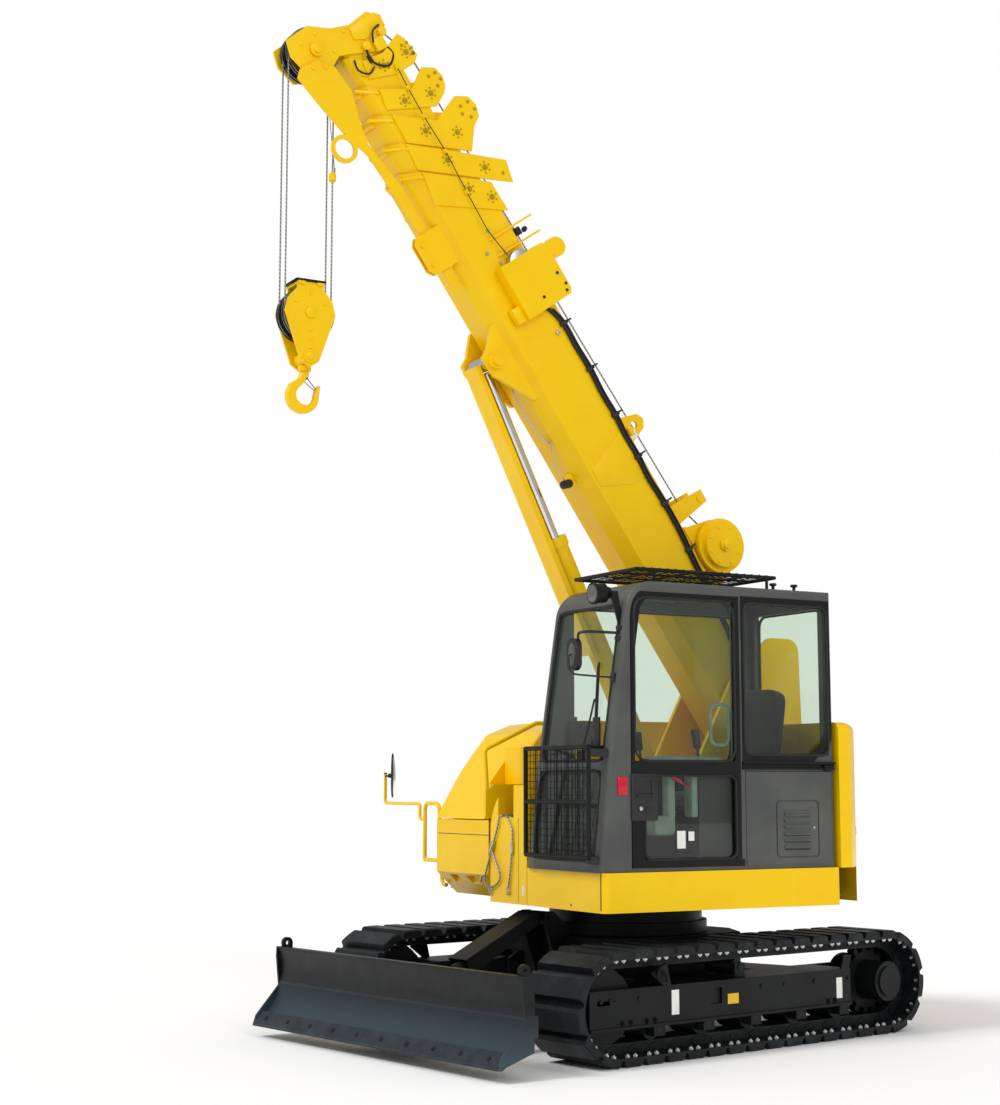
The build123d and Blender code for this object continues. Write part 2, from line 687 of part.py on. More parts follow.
# Upper works
def make_deck():
    floor = level_plate(
        [
            (NOSE_LEFT + BODY_GAP, DECK_FRONT + SKIRT),
            (DECK_LEFT - SKIRT, DECK_FRONT + SKIRT),
            (DECK_LEFT - SKIRT, 760),
            (700, DECK_REAR),
            (-700, DECK_REAR),
            (DECK_RIGHT + 20, 760),
            (DECK_RIGHT + 20, NOSE_BACK),
            (NOSE_LEFT + BODY_GAP, NOSE_BACK),
        ],
        DECK_BOTTOM + 40,
        DECK_TOP,
    )
    hub = Pos(0, 0, RING_TOP + SEAT_GAP) * extrude(
        Circle(RING_RADIUS - 25), DECK_BOTTOM + 45 - RING_TOP
    )
    return floor + hub


def make_skirt():
    """The painted apron round the left side and front of the deck."""
    inner_x = DECK_LEFT - SKIRT + SEAT_GAP
    inner_y = DECK_FRONT + SKIRT - SEAT_GAP
    points = [
        (DECK_FRONT_INNER, DECK_FRONT),
        (DECK_LEFT, DECK_FRONT),
        (DECK_LEFT, CAB_REAR),
        (inner_x, CAB_REAR),
        (inner_x, inner_y),
        (DECK_FRONT_INNER, inner_y),
    ]
    return level_plate(points, DECK_BOTTOM, DECK_TOP + SKIRT_LIP, {1: 40})


CAB_BASE = DECK_TOP + SKIRT_LIP + SEAT_GAP
CAB_PROFILE = [
    (CAB_FRONT_LOW, CAB_BASE),
    (CAB_FRONT_LOW + 60, CAB_SEAM),
    (CAB_FRONT_HIGH, CAB_ROOF),
    (CAB_REAR, CAB_ROOF),
    (CAB_REAR, CAB_BASE),
]


def cab_block(inset, x0, x1, square_below=None):
    """The cab's outline seen from the side, inset all round, or left square below a height."""
    face = outline(CAB_PROFILE)
    top_front = [v for v in face.vertices() if abs(v.X - CAB_FRONT_HIGH) < 1 and v.Y > CAB_SEAM + 100]
    face = fillet(top_front, CAB_CORNER)
    if inset:
        face = offset(face, -inset)
    block = x_plane(x0) * extrude(face, x1 - x0)
    if square_below:
        block += box(x0, x1, CAB_FRONT_LOW, CAB_REAR, CAB_BASE, square_below)
    return block


DOOR_LOW = CAB_BASE + 22
DOOR_HIGH = CAB_ROOF - 62
WINDOW_LOW = CAB_SEAM + 42
WINDOW_HIGH = CAB_ROOF - 96


def make_cab_frame():
    outer = cab_block(0, CAB_RIGHT, CAB_LEFT)
    sides = outer.faces().sort_by(Axis.X)
    rims = [e for face in (sides[0], sides[-1]) for e in face.edges() if e.center().Z > CAB_BASE + 5]
    outer = fillet(rims, CAB_EDGE)
    shell = outer - cab_block(CAB_WALL, CAB_RIGHT + CAB_WALL, CAB_LEFT - CAB_WALL)
    # door way and rear panel way in the left wall
    way = box(CAB_LEFT - CAB_WALL - 1, CAB_LEFT + 1, DOOR_FRONT, DOOR_REAR, DOOR_LOW, DOOR_HIGH)
    shell -= way & cab_block(DOOR_INSET, CAB_LEFT - CAB_WALL - 2, CAB_LEFT + 2, CAB_SEAM)
    shell -= box(
        CAB_LEFT - CAB_WALL - 1,
        CAB_LEFT + 1,
        DOOR_REAR + 30,
        CAB_REAR - 40,
        WINDOW_LOW + 40,
        WINDOW_HIGH,
    )
    shell -= box(
        CAB_LEFT - CAB_WALL - 1, CAB_LEFT + 1, DOOR_REAR + 30, CAB_REAR - 25, DOOR_LOW, CAB_SEAM - 12
    )
    # right wall, rear wall, windscreen and roof light
    shell -= box(CAB_RIGHT - 1, CAB_RIGHT + CAB_WALL + 1, -560, CAB_REAR - 90, WINDOW_LOW, WINDOW_HIGH)
    shell -= box(
        CAB_RIGHT + 80, CAB_LEFT - 80, CAB_REAR - CAB_WALL - 1, CAB_REAR + 1, WINDOW_LOW, WINDOW_HIGH
    )
    shell -= box(
        CAB_RIGHT + 55,
        CAB_LEFT - 60,
        CAB_FRONT_LOW - 60,
        CAB_FRONT_LOW + 140,
        CAB_BASE + 60,
        CAB_SEAM - 10,
    )
    shell -= box(
        CAB_RIGHT + 55,
        CAB_LEFT - 60,
        CAB_FRONT_LOW - 60,
        CAB_FRONT_HIGH + 90,
        CAB_SEAM + 40,
        WINDOW_HIGH - 40,
    )
    shell -= box(CAB_RIGHT + 110, CAB_LEFT - 110, -380, 120, CAB_ROOF - CAB_WALL - 1, CAB_ROOF + 1)
    return shell


def make_cab_door():
    x0 = CAB_LEFT - CAB_WALL + 4
    gap = 3.0
    door = box(
        x0, CAB_LEFT + 4, DOOR_FRONT + gap, DOOR_REAR - gap, DOOR_LOW + SEAT_GAP, DOOR_HIGH - gap
    )
    door &= cab_block(DOOR_INSET + gap, x0 - 1, CAB_LEFT + 5, CAB_SEAM)
    window = box(x0 - 1, CAB_LEFT + 5, DOOR_FRONT + 25, DOOR_REAR - 40, WINDOW_LOW, WINDOW_HIGH)
    door -= window & cab_block(WINDOW_INSET, x0 - 2, CAB_LEFT + 6)
    door -= box(x0 - 1, CAB_LEFT + 5, DOOR_FRONT + 90, DOOR_REAR - 40, DOOR_LOW + 45, CAB_SEAM - 40)
    return door


def make_cab_rear_panel():
    gap = 3.0
    x0 = CAB_LEFT - CAB_WALL + 4
    panel = box(
        x0, CAB_LEFT + 2, DOOR_REAR + 30 + gap, CAB_REAR - 25 - gap, DOOR_LOW + SEAT_GAP, CAB_SEAM - 12 - gap
    )
    # hatch with a raised rim's width of shadow round it, and its louvres
    y0, y1, z0, z1 = HATCH
    corners = [(y0, z0), (y1, z0), (y1, z1), (y0, z1)]
    round_off = {0: 30, 1: 30, 2: 30, 3: 30}
    groove = side_plate(corners, CAB_LEFT - 4, CAB_LEFT + 3, round_off)
    inner = side_plate(
        [(y0 + 9, z0 + 9), (y1 - 9, z0 + 9), (y1 - 9, z1 - 9), (y0 + 9, z1 - 9)],
        CAB_LEFT - 5,
        CAB_LEFT + 4,
        {0: 22, 1: 22, 2: 22, 3: 22},
    )
    panel -= groove - inner
    step = (z1 - z0 - 110) / SLAT_COUNT
    for i in range(SLAT_COUNT):
        low = z0 + 55 + i * step
        slat = front_plate(
            [
                (CAB_LEFT + 1, low), (CAB_LEFT + 12, low), (CAB_LEFT + 1, low + 0.62 * step)
            ], y0 + 62, y1 - 62
        )
        panel += slat
    return panel


def make_cab_glass():
    panes = []
    x = CAB_LEFT - CAB_WALL / 2
    trim = SEAT_GAP
    pane = box(
        x,
        x + GLASS,
        DOOR_FRONT + 25 + trim,
        DOOR_REAR - 40 - trim,
        WINDOW_LOW + trim,
        WINDOW_HIGH - trim,
    )
    panes.append(pane & cab_block(WINDOW_INSET + trim, x - 1, x + GLASS + 1))
    panes.append(
        box(
            x,
            x + GLASS,
            DOOR_FRONT + 90 + trim,
            DOOR_REAR - 40 - trim,
            DOOR_LOW + 45 + trim,
            CAB_SEAM - 40 - trim,
        )
    )
    panes.append(
        box(
            x,
            x + GLASS,
            DOOR_REAR + 30 + trim,
            CAB_REAR - 40 - trim,
            WINDOW_LOW + 40 + trim,
            WINDOW_HIGH - trim,
        )
    )
    xr = CAB_RIGHT + CAB_WALL / 2
    panes.append(
        box(xr, xr + GLASS, -560 + trim, CAB_REAR - 90 - trim, WINDOW_LOW + trim, WINDOW_HIGH - trim)
    )
    yr = CAB_REAR - CAB_WALL / 2
    panes.append(
        box(
            CAB_RIGHT + 80 + trim,
            CAB_LEFT - 80 - trim,
            yr,
            yr + GLASS,
            WINDOW_LOW + trim,
            WINDOW_HIGH - trim,
        )
    )
    zr = CAB_ROOF - CAB_WALL / 2
    panes.append(
        box(CAB_RIGHT + 110 + trim, CAB_LEFT - 110 - trim, -380 + trim, 120 - trim, zr, zr + GLASS)
    )
    return joined(*panes)


def front_y(z):
    """The cab's front face at height z."""
    if z < CAB_SEAM:
        return CAB_FRONT_LOW + 60 * (z - CAB_BASE) / (CAB_SEAM - CAB_BASE)
    rise = (z - CAB_SEAM) / (CAB_ROOF - CAB_SEAM)
    return CAB_FRONT_LOW + 60 + (CAB_FRONT_HIGH - CAB_FRONT_LOW - 60) * rise


def make_windscreen():
    panes = []
    x0, x1 = CAB_RIGHT + 55 + SEAT_GAP, CAB_LEFT - 60 - SEAT_GAP
    for z0, z1 in ((CAB_BASE + 61, CAB_SEAM - 11), (CAB_SEAM + 41, WINDOW_HIGH - 41)):
        back = 14.0
        pane = side_plate(
            [
                (front_y(z0) + back, z0),
                (front_y(z1) + back, z1),
                (front_y(z1) + back + GLASS, z1),
                (front_y(z0) + back + GLASS, z0),
            ],
            x0,
            x1,
        )
        panes.append(pane)
    return joined(*panes)


def make_seat():
    x = (CAB_RIGHT + CAB_LEFT) / 2
    base = box(x - 200, x + 200, 40, 440, CAB_BASE + CAB_WALL + SEAT_GAP, 1330)
    cushion = box(x - 240, x + 240, -40, 440, 1330, 1450)
    back = side_plate([(400, 1450), (520, 1450), (600, 2080), (500, 2090)], x - 230, x + 230)
    return base + cushion + back


def make_consoles():
    parts = []
    x = (CAB_RIGHT + CAB_LEFT) / 2
    for side in (-1, 1):
        x0 = x + side * 300
        parts.append(box(x0 - 45, x0 + 45, -160, 420, CAB_BASE + CAB_WALL + SEAT_GAP, 1560))
    return joined(*parts)


def make_front_guard():
    """Tube frame with crossbars in front of the lower screen."""
    y = CAB_FRONT_LOW - 60
    x0, x1 = 375.0, 1065.0
    z0, z1 = 1085.0, 1692.0
    bars = [
        bar((x0, y, z0), (x1, y, z0), 13),
        bar((x0, y, z0), (x0, y, z1), 13),
        bar((x1, y, z0), (x1, y, z1), 13),
    ]
    bars.append(bar((x0, y, z1), (x1, y, z1), 13))
    bars.append(bar((x0, y, (z0 + z1) / 2), (x1, y, (z0 + z1) / 2), 13))
    frame = bars[0]
    for i in range(1, 6):
        x = x0 + (x1 - x0) * i / 6
        bars.append(bar((x, y, z0), (x, y, z1), 3.5))
    for piece in bars[1:]:
        frame += piece
    for z in (z0, z1):
        for x in (x1 - 60, x0 + 60):
            frame += bar((x, y, z), (x, front_y(z - 9) - SEAT_GAP, z), 9)
    return frame


def make_roof_guard():
    """Mesh frame above the cab on short stays."""
    z = CAB_ROOF + 72
    x0, x1 = CAB_RIGHT + 60, CAB_LEFT - 60
    y0, y1 = -560.0, 420.0
    frame = bar((x0, y0, z), (x1, y0, z), 11)
    for p, q in (((x1, y0, z), (x1, y1, z)), ((x1, y1, z), (x0, y1, z)), ((x0, y1, z), (x0, y0, z))):
        frame += bar(p, q, 11)
    for i in range(1, 5):
        y = y0 + (y1 - y0) * i / 5
        frame += bar((x0, y, z), (x1, y, z), 5)
    for i in range(1, 3):
        x = x0 + (x1 - x0) * i / 3
        frame += bar((x, y0, z), (x, y1, z), 5)
    for x in (x0, x1):
        for y in (-440.0, y1 - 60):
            frame += bar((x, y, CAB_ROOF + SEAT_GAP), (x, y, z), 9)
    return frame


BRACKET_NOTCH = BRACKET_X + BRACKET_PLATE + BODY_GAP
HOOD_PROFILE = [
    (DECK_FRONT - 6, NOSE_TOP + BODY_GAP),
    (DECK_FRONT + 6, NOSE_TOP + 22),
    (-520, 1700),
    (-430, 1810),
    (-250, 1880),
    (-140, HOOD_TOP),
    (CAB_REAR + 10, HOOD_TOP),
    (CAB_REAR + 10, DECK_TOP + SEAT_GAP),
    (NOSE_BACK + BODY_GAP, DECK_TOP + SEAT_GAP),
    (NOSE_BACK + BODY_GAP, NOSE_TOP + BODY_GAP),
]


def make_tank_cover():
    """Sloping cover of the tanks on the right, down to the box at its foot."""
    cover = side_plate(HOOD_PROFILE, DECK_RIGHT, -BRACKET_NOTCH)
    plan = level_plate(
        [
            (DECK_RIGHT - 1, CAB_REAR + 20),
            (DECK_RIGHT - 1, -620),
            (NOSE_RIGHT, DECK_FRONT - 7),
            (-BRACKET_NOTCH + 1, DECK_FRONT - 7),
            (-BRACKET_NOTCH + 1, CAB_REAR + 20),
        ],
        DECK_TOP,
        HOOD_TOP + 10,
        {1: 150, 2: 60},
    )
    cover &= plan
    # step beside the boom for the grab rail, with a raised box behind it
    edge = -BRACKET_NOTCH
    cover -= box(POCKET_X, edge + 1, DECK_FRONT - 10, POCKET_BACK, POCKET_FLOOR, HOOD_TOP + 10)
    cover += box(POCKET_X, edge, POCKET_BACK, POCKET_BACK + 240, POCKET_FLOOR - 1, POCKET_TOP)
    curb = [
        (DECK_FRONT + 8, NOSE_TOP + 25),
        (DECK_FRONT + 8, CURB_TOP),
        (DECK_FRONT + 46, CURB_TOP),
        (DECK_FRONT + 66, POCKET_FLOOR),
        (POCKET_BACK + 1, POCKET_FLOOR),
        (POCKET_BACK + 1, NOSE_TOP + 25),
    ]
    return cover + side_plate(curb, edge - CURB, edge)


def make_front_box():
    """The box under the cover's nose, with a slanting underside and two bracket pockets."""
    nose = side_plate(
        [
            (NOSE_BACK - SEAT_GAP, DECK_BOTTOM + 15),
            (DECK_FRONT, 940),
            (DECK_FRONT, NOSE_TOP),
            (NOSE_BACK - SEAT_GAP, NOSE_TOP),
        ],
        NOSE_RIGHT,
        NOSE_LEFT,
    )
    for x in (-480, -700):
        nose -= box(x - 55, x + 55, DECK_FRONT - 1, DECK_FRONT + 70, DECK_BOTTOM, 925)
    return nose


def rear_block(z0, z1):
    disc = Pos(0, 0, z0) * extrude(Circle(TAIL_RADIUS), z1 - z0)
    block = disc & box(DECK_RIGHT, DECK_LEFT, CAB_REAR + 18, TAIL_RADIUS + 10, z0, z1)
    return block - box(-BRACKET_NOTCH, BRACKET_NOTCH, 0, BRACKET_REAR + 25, z0 - 1, z1 + 1)


def make_counterweight():
    """The cast tail weight, with a bay for the engine on its right."""
    weight = rear_block(DECK_BOTTOM, REAR_SEAM)
    weight -= box(
        DECK_RIGHT - 1, DECK_LEFT + 1, 0, DECK_REAR + BODY_GAP, DECK_BOTTOM - 1, DECK_TOP + SEAT_GAP
    )
    bay_front = CAB_REAR + 17
    return weight - box(
        DECK_RIGHT + 150, -BRACKET_NOTCH - 40, bay_front, ENGINE_REAR + 10, DECK_TOP, REAR_SEAM + 1
    )


def outer_edges(face):
    """The edges of a top face that the tail shows outside, without the boom's slot."""
    return [
        e
        for e in face.edges()
        if e.center().Y > CAB_REAR + 25
        and (abs(e.center().X) > BRACKET_NOTCH + 2 or e.center().Y > BRACKET_REAR + 30)
    ]


def make_engine_hood():
    hood = rear_block(REAR_SEAM + SEAT_GAP, REAR_TOP)
    return fillet(outer_edges(hood.faces().sort_by(Axis.Z)[-1]), TAIL_ROUND)


def make_engine():
    """The engine as one plain block inside the rear bodywork."""
    return box(
        DECK_RIGHT + 170, -BRACKET_NOTCH - 60, CAB_REAR + 30, ENGINE_REAR, DECK_TOP + SEAT_GAP, 1600
    )


def make_boom_bracket():
    """Two tall plates that carry the boom's foot pin, on a floor that runs to the front."""
    low = DECK_TOP + SEAT_GAP
    points = [
        (NOSE_BACK + BODY_GAP, low),
        (NOSE_BACK + BODY_GAP, 1230),
        (60, 1300),
        (300, 1480),
        (640, 2130),
        (740, 2210),
        (940, 2420),
        (1180, 2420),
        (BRACKET_REAR, 1740),
        (BRACKET_REAR, low),
    ]
    bracket = box(-BRACKET_X - 1, BRACKET_X + 1, NOSE_BACK + BODY_GAP, BRACKET_REAR, low, FLOOR_TOP)
    for side in (-1, 1):
        x0, x1 = between(side * BRACKET_X, side * (BRACKET_X + BRACKET_PLATE))
        bracket += side_plate(points, x0, x1, {6: 60, 7: 90})
    bracket += box(-BRACKET_X - 1, BRACKET_X + 1, BRACKET_REAR - 28, BRACKET_REAR, low, 1735)
    bracket += x_bar(
        FOOT_Y, FOOT_Z, -BRACKET_X - BRACKET_PLATE - 4, BRACKET_X + BRACKET_PLATE + 4, FOOT_PIN
    )
    # lugs of the luffing cylinder's foot, each with its own half of the pin
    for side in (-1, 1):
        x0, x1 = between(side * FOOT_LUG_X, side * (FOOT_LUG_X + 30))
        bracket += side_plate(
            [
                (CYL_FOOT_Y - 190, FLOOR_TOP - 1),
                (CYL_FOOT_Y - 75, CYL_FOOT_Z + 20),
                (CYL_FOOT_Y - 40, CYL_FOOT_Z + 75),
                (CYL_FOOT_Y + 40, CYL_FOOT_Z + 75),
                (CYL_FOOT_Y + 80, CYL_FOOT_Z + 10),
                (CYL_FOOT_Y + 190, FLOOR_TOP - 1),
            ],
            x0,
            x1,
        )
        x0, x1 = between(side * (FOOT_LUG_X + 29), side * (FOOT_LUG_X + 50))
        bracket += x_bar(CYL_FOOT_Y, CYL_FOOT_Z, x0, x1, 36)
    return bracket


def make_arch_plate():
    """Arched front of the boom's channel, with a cradle notch for the lowered cylinder."""
    x0, x1 = NOSE_LEFT + 25, DECK_FRONT_INNER - BODY_GAP
    notch = GUARD_HALF + 18
    plate = front_plate(
        [(x0, DECK_BOTTOM), (x1, DECK_BOTTOM), (x1, ARCH_TOP), (x0, ARCH_TOP)],
        DECK_FRONT,
        DECK_FRONT + SKIRT - SEAT_GAP,
        {3: ARCH_RADIUS},
    )
    return plate - box(-notch, notch, DECK_FRONT - 1, DECK_FRONT + SKIRT, CRADLE_FLOOR, ARCH_TOP + 1)


# Boom
HEAD_S = BOOM_LENGTH
BASE_END = BOOM_LENGTH - 5 * SECTION_STEP - MOUTH_BACK


def boom_face(inset):
    """The boom's section in (x, v), inset all round."""
    w, f = BOOM_HALF_WIDTH, BOOM_FLAT
    top, low, bottom, e = BOOM_TOP, BOOM_SIDE_LOW, BOOM_BOTTOM, BOOM_EDGE
    points = [
        (-w + e, top),
        (w - e, top),
        (w, top - e),
        (w, low),
        (f, bottom),
        (-f, bottom),
        (-w, low),
        (-w, top - e),
    ]
    face = outline(points)
    return offset(face, -inset, kind=Kind.INTERSECTION) if inset else face


NEST = BOOM_WALL + BOOM_GAP


def section_end(n, v=0.0):
    """How far a section's slanted mouth reaches at height v."""
    return BASE_END + (n - 1) * SECTION_STEP - END_SLANT * v


def section_tube(n, start):
    inset = (n - 1) * NEST
    tube = boom_extrude(boom_face(inset) - boom_face(inset + BOOM_WALL), start, section_end(n, -400))
    beyond = section_end(n) + 1500
    front = [(section_end(n, -400), -400), (beyond, -400), (beyond, 400), (section_end(n, 400), 400)]
    return tube - boom_plate(front, -400, 400)


# each section's collar plate as (s, v), with s counted from its mouth at v = 0
COLLARS = {
    1: [(112, -172), (-95, -205), (-343, 231), (-145, 224)],
    2: [(102, -159), (-65, -177), (-413, 379), (-276, 414), (-45, 68)],
    3: [
        (91, -130),
        (-95, -136),
        (-326, 242),
        (-205, 345),
        (-165, 412),
        (-97, 436),
        (-29, 412),
        (11, 330),
        (-65, 130),
    ],
    4: [
        (61, -105),
        (-68, -130),
        (-189, 195),
        (-142, 290),
        (-100, 325),
        (-44, 337),
        (15, 320),
        (56, 237),
        (-30, 95),
    ],
    5: [(50, -95), (-60, -115), (-105, 60), (-104, 215), (-64, 270), (56, 245), (100, 215), (40, 60)],
}


# how far the flange under each mouth hangs down
FLANGE_DROP = {1: 8, 2: 22, 3: 36, 4: 34}


def make_collar(n):
    """Side plates with their lugs round a section's mouth, and a flange under it."""
    width = BOOM_HALF_WIDTH - (n - 1) * NEST
    collar = None
    for side in (-1, 1):
        x0, x1 = between(side * (width - 1), side * (width + COLLAR_PLATE))
        plate = boom_plate([(section_end(n) + s, v) for s, v in COLLARS[n]], x0, x1)
        collar = plate if collar is None else collar + plate
    if n == 5:
        return collar
    bottom = BOOM_BOTTOM + (n - 1) * NEST
    s0 = section_end(n, bottom) - 60
    low = bottom - FLANGE_DROP[n]
    half = BOOM_FLAT - 12
    return collar + boom_plate(
        [(s0, bottom + 1), (s0, low), (s0 + 24, low), (s0 + 24, bottom + 1)], -half, half
    )


def wear_pads(n, start):
    """Runners between nested sections: round the mouth inside, and round the tail outside."""
    inset = (n - 1) * NEST
    pads = None
    faces = []
    if n < 6:
        low = BOOM_BOTTOM + inset + BOOM_WALL
        high = BOOM_TOP - inset - BOOM_WALL
        thick = BOOM_GAP - PAD_GAP
        faces.append((section_end(n, low) - 170, low - 1, low + thick, 60))
        faces.append((section_end(n, high) - 170, high - thick, high + 1, 70))
    if n > 1:
        low = BOOM_BOTTOM + inset
        high = BOOM_TOP - inset
        thick = BOOM_GAP - PAD_GAP
        faces.append((start, low - thick, low + 1, 60))
        faces.append((start, high - 1, high + thick, 70))
    for s, v0, v1, half in faces:
        pad = boom_plate([(s, v0), (s + 110, v0), (s + 110, v1), (s, v1)], -half, half)
        pads = pad if pads is None else pads + pad
    return pads


# the strip's bracket as (s, v), with s counted from the base's mouth
STRIP_EAR = [(-454, -200), (-454, -410), (-414, -440), (-244, -440), (-204, -410), (-204, -200)]


def make_boom_base():
    base = section_tube(1, BASE_START) + make_collar(1) + wear_pads(1, BASE_START)
    for side in (-1, 1):
        x0, x1 = between(side * (BOOM_HALF_WIDTH - BOOM_WALL - 4), side * (BRACKET_X - 1))
        base += boom_bar(0, 0, x0, x1, FOOT_PIN + 35)
        base -= boom_bar(0, 0, x0 - 1, x1 + 1, FOOT_PIN + PIN_GAP)
    # ears and pin of the luffing cylinder's rod
    ears = boom_bar(LUFF_S, LUFF_V, -EAR_X - EAR_PLATE - 45, EAR_X + EAR_PLATE + 45, LUFF_PIN)
    for side in (-1, 1):
        x0, x1 = between(side * EAR_X, side * (EAR_X + EAR_PLATE))
        ears += boom_plate(
            [
                (LUFF_S - 330, BOOM_BOTTOM + 60),
                (LUFF_S - 330, BOOM_BOTTOM + 5),
                (LUFF_S - 70, LUFF_V - 55),
                (LUFF_S + 60, LUFF_V - 60),
                (LUFF_S + 90, LUFF_V),
                (LUFF_S + 200, BOOM_BOTTOM + 5),
                (LUFF_S + 200, BOOM_BOTTOM + 60),
            ],
            x0,
            x1,
        )
        x0, x1 = between(side * (EAR_X + EAR_PLATE), side * (EAR_X + EAR_PLATE + 30))
        ears += boom_bar(LUFF_S, LUFF_V, x0, x1, 48)
    # bracket that the auxiliary strip slides through
    for x0 in (STRIP_X - 12 - BODY_GAP, STRIP_X + STRIP_PLATE + BODY_GAP):
        ears += boom_plate([(BASE_END + s, v) for s, v in STRIP_EAR], x0, x0 + 12)
    for s in (BASE_END - 394, BASE_END - 264):
        ears += boom_bar(s, -395, STRIP_X - 18, STRIP_X + STRIP_PLATE + 30, 16)
    base += ears - boom_extrude(boom_face(BOOM_WALL - 1), BASE_START, section_end(1))
    # lifting lug, rope guide and prongs on top
    lug = boom_plate(
        [(1702, BOOM_TOP - 2), (1770, 440), (1822, 474), (1872, 440), (1942, BOOM_TOP - 2)],
        -12,
        12,
        {2: 30},
    )
    base += lug - boom_bar(1822, 386, -20, 20, LUG_HOLE)
    for side in (-1, 1):
        x0, x1 = between(side * 70, side * 82)
        base += boom_plate(
            [(1130, BOOM_TOP - 2), (1150, 540), (1235, 540), (1270, BOOM_TOP - 2)], x0, x1
        )
    base += boom_bar(1192, 500, -90, 90, 24)
    return base


def make_section(n):
    start = 150 + 60 * (n - 1)
    tube = section_tube(n, start) + wear_pads(n, start)
    return tube + make_collar(n) if n in COLLARS else tube


def make_cover_box():
    """The box and reel on the boom's left side."""
    x0 = BOOM_HALF_WIDTH + SEAT_GAP
    s = BASE_END - 974
    low = s + 30
    body = boom_plate(
        [(s, -70), (s, 290), (low, 310), (s + 330, 310), (s + 360, 280), (s + 360, -70)], x0, x0 + 78
    )
    body += boom_bar(s + 290, 372, x0 + 10, x0 + 70, 62)
    body += boom_plate(
        [(s + 250, 300), (s + 250, 372), (s + 330, 372), (s + 330, 300)], x0 + 20, x0 + 60
    )
    return body


# the strip's lower and upper edge in front as (s, v) from the head's sheave pin
STRIP_LOW = [(-54, -168), (-94, -214), (-293, -179), (-499, -132), (-678, -65)]
STRIP_HIGH = [(-622, -26), (-507, -6), (-303, 60), (-134, 42), (-54, -48)]


def make_strip():
    """The folded auxiliary strip under the boom, with its ring."""
    back = LUFF_S + STRIP_BACK
    middle = [
        (BASE_END + 2, -371), (BASE_END - 195, -356), (back, -350), (back, -292), (BASE_END + 96, -306)
    ]
    points = [(HEAD_S + s, HEAD_V + v) for s, v in STRIP_LOW] + middle
    points += [(HEAD_S + s, HEAD_V + v) for s, v in STRIP_HIGH]
    strip = boom_plate(points, STRIP_X, STRIP_X + STRIP_PLATE)
    ring_s, ring_v = HEAD_S - 577, HEAD_V - 182
    strip += boom_bar(ring_s, ring_v, STRIP_X - 2, STRIP_X + STRIP_PLATE + 2, 85)
    strip -= boom_bar(ring_s, ring_v, STRIP_X - 5, STRIP_X + STRIP_PLATE + 5, 60)
    for s, v in ((-84, -88), (-109, -13)):
        strip += boom_bar(HEAD_S + s, HEAD_V + v, HEAD_OUTER + SEAT_GAP, STRIP_X + STRIP_PLATE + 10, 16)
    return strip


def make_winch_frame():
    """The winch's seat and cheeks on the boom, with its round gear cover on the left."""
    low = BOOM_TOP + SEAT_GAP
    frame = boom_extrude(
        Pos(0, low + 9) * Rectangle(2 * DRUM_HALF + 52, 18), WINCH_S - 230, WINCH_S + 230
    )
    for side in (-1, 1):
        x0, x1 = between(side * (DRUM_HALF + 8), side * (DRUM_HALF + 26))
        frame += boom_plate(
            [
                (WINCH_S - 230, low),
                (WINCH_S - 170, WINCH_V + 50),
                (WINCH_S - 100, WINCH_V + 120),
                (WINCH_S + 100, WINCH_V + 120),
                (WINCH_S + 170, WINCH_V + 50),
                (WINCH_S + 230, low),
            ],
            x0,
            x1,
        )
    seat = BOOM_HALF_WIDTH + SEAT_GAP
    frame += boom_bar(WINCH_S, WINCH_V, DRUM_HALF + 25, seat + 1, WINCH_V - BOOM_TOP - 5)
    frame += boom_bar(WINCH_S, WINCH_V, seat, seat + 35, WINCH_COVER)
    frame += boom_bar(WINCH_S, WINCH_V, seat + 34, seat + 68, WINCH_COVER - 35)
    frame += boom_bar(WINCH_S, WINCH_V, -DRUM_HALF - 26, DRUM_HALF + 26, DRUM_SHAFT)
    return frame


def make_drum():
    drum = boom_bar(WINCH_S, WINCH_V, -DRUM_HALF, DRUM_HALF, DRUM_RADIUS - 24)
    for side in (-1, 1):
        x0, x1 = between(side * (DRUM_HALF - 12), side * DRUM_HALF)
        drum += boom_bar(WINCH_S, WINCH_V, x0, x1, DRUM_RADIUS)
    return drum - boom_bar(WINCH_S, WINCH_V, -DRUM_HALF - 1, DRUM_HALF + 1, DRUM_SHAFT + PIN_GAP)


HEAD_INNER = BOOM_HALF_WIDTH - 5 * NEST + SEAT_GAP
HEAD_OUTER = HEAD_INNER + HEAD_PLATE
# the head plate as (s, v) from its sheave pin
HEAD_PLATE_OUTLINE = [
    (130, -136),
    (148, 32),
    (75, 162),
    (46, 287),
    (69, 436),
    (16, 518),
    (-42, 508),
    (-74, 432),
    (-184, 432),
    (-110, 200),
    (-88, 122),
    (-147, 11),
    (-91, -130),
    (34, -166),
]


def make_boom_head():
    head = boom_bar(HEAD_S, HEAD_V, -HEAD_OUTER - 14, HEAD_OUTER + 9, SHEAVE_BORE - PIN_GAP)
    for side in (-1, 1):
        x0, x1 = between(side * HEAD_INNER, side * HEAD_OUTER)
        head += boom_plate([(HEAD_S + s, HEAD_V + v) for s, v in HEAD_PLATE_OUTLINE], x0, x1)
    head += boom_bar(HEAD_S + 20, HEAD_V + 470, -HEAD_OUTER - 8, HEAD_OUTER + 8, 24)
    return head


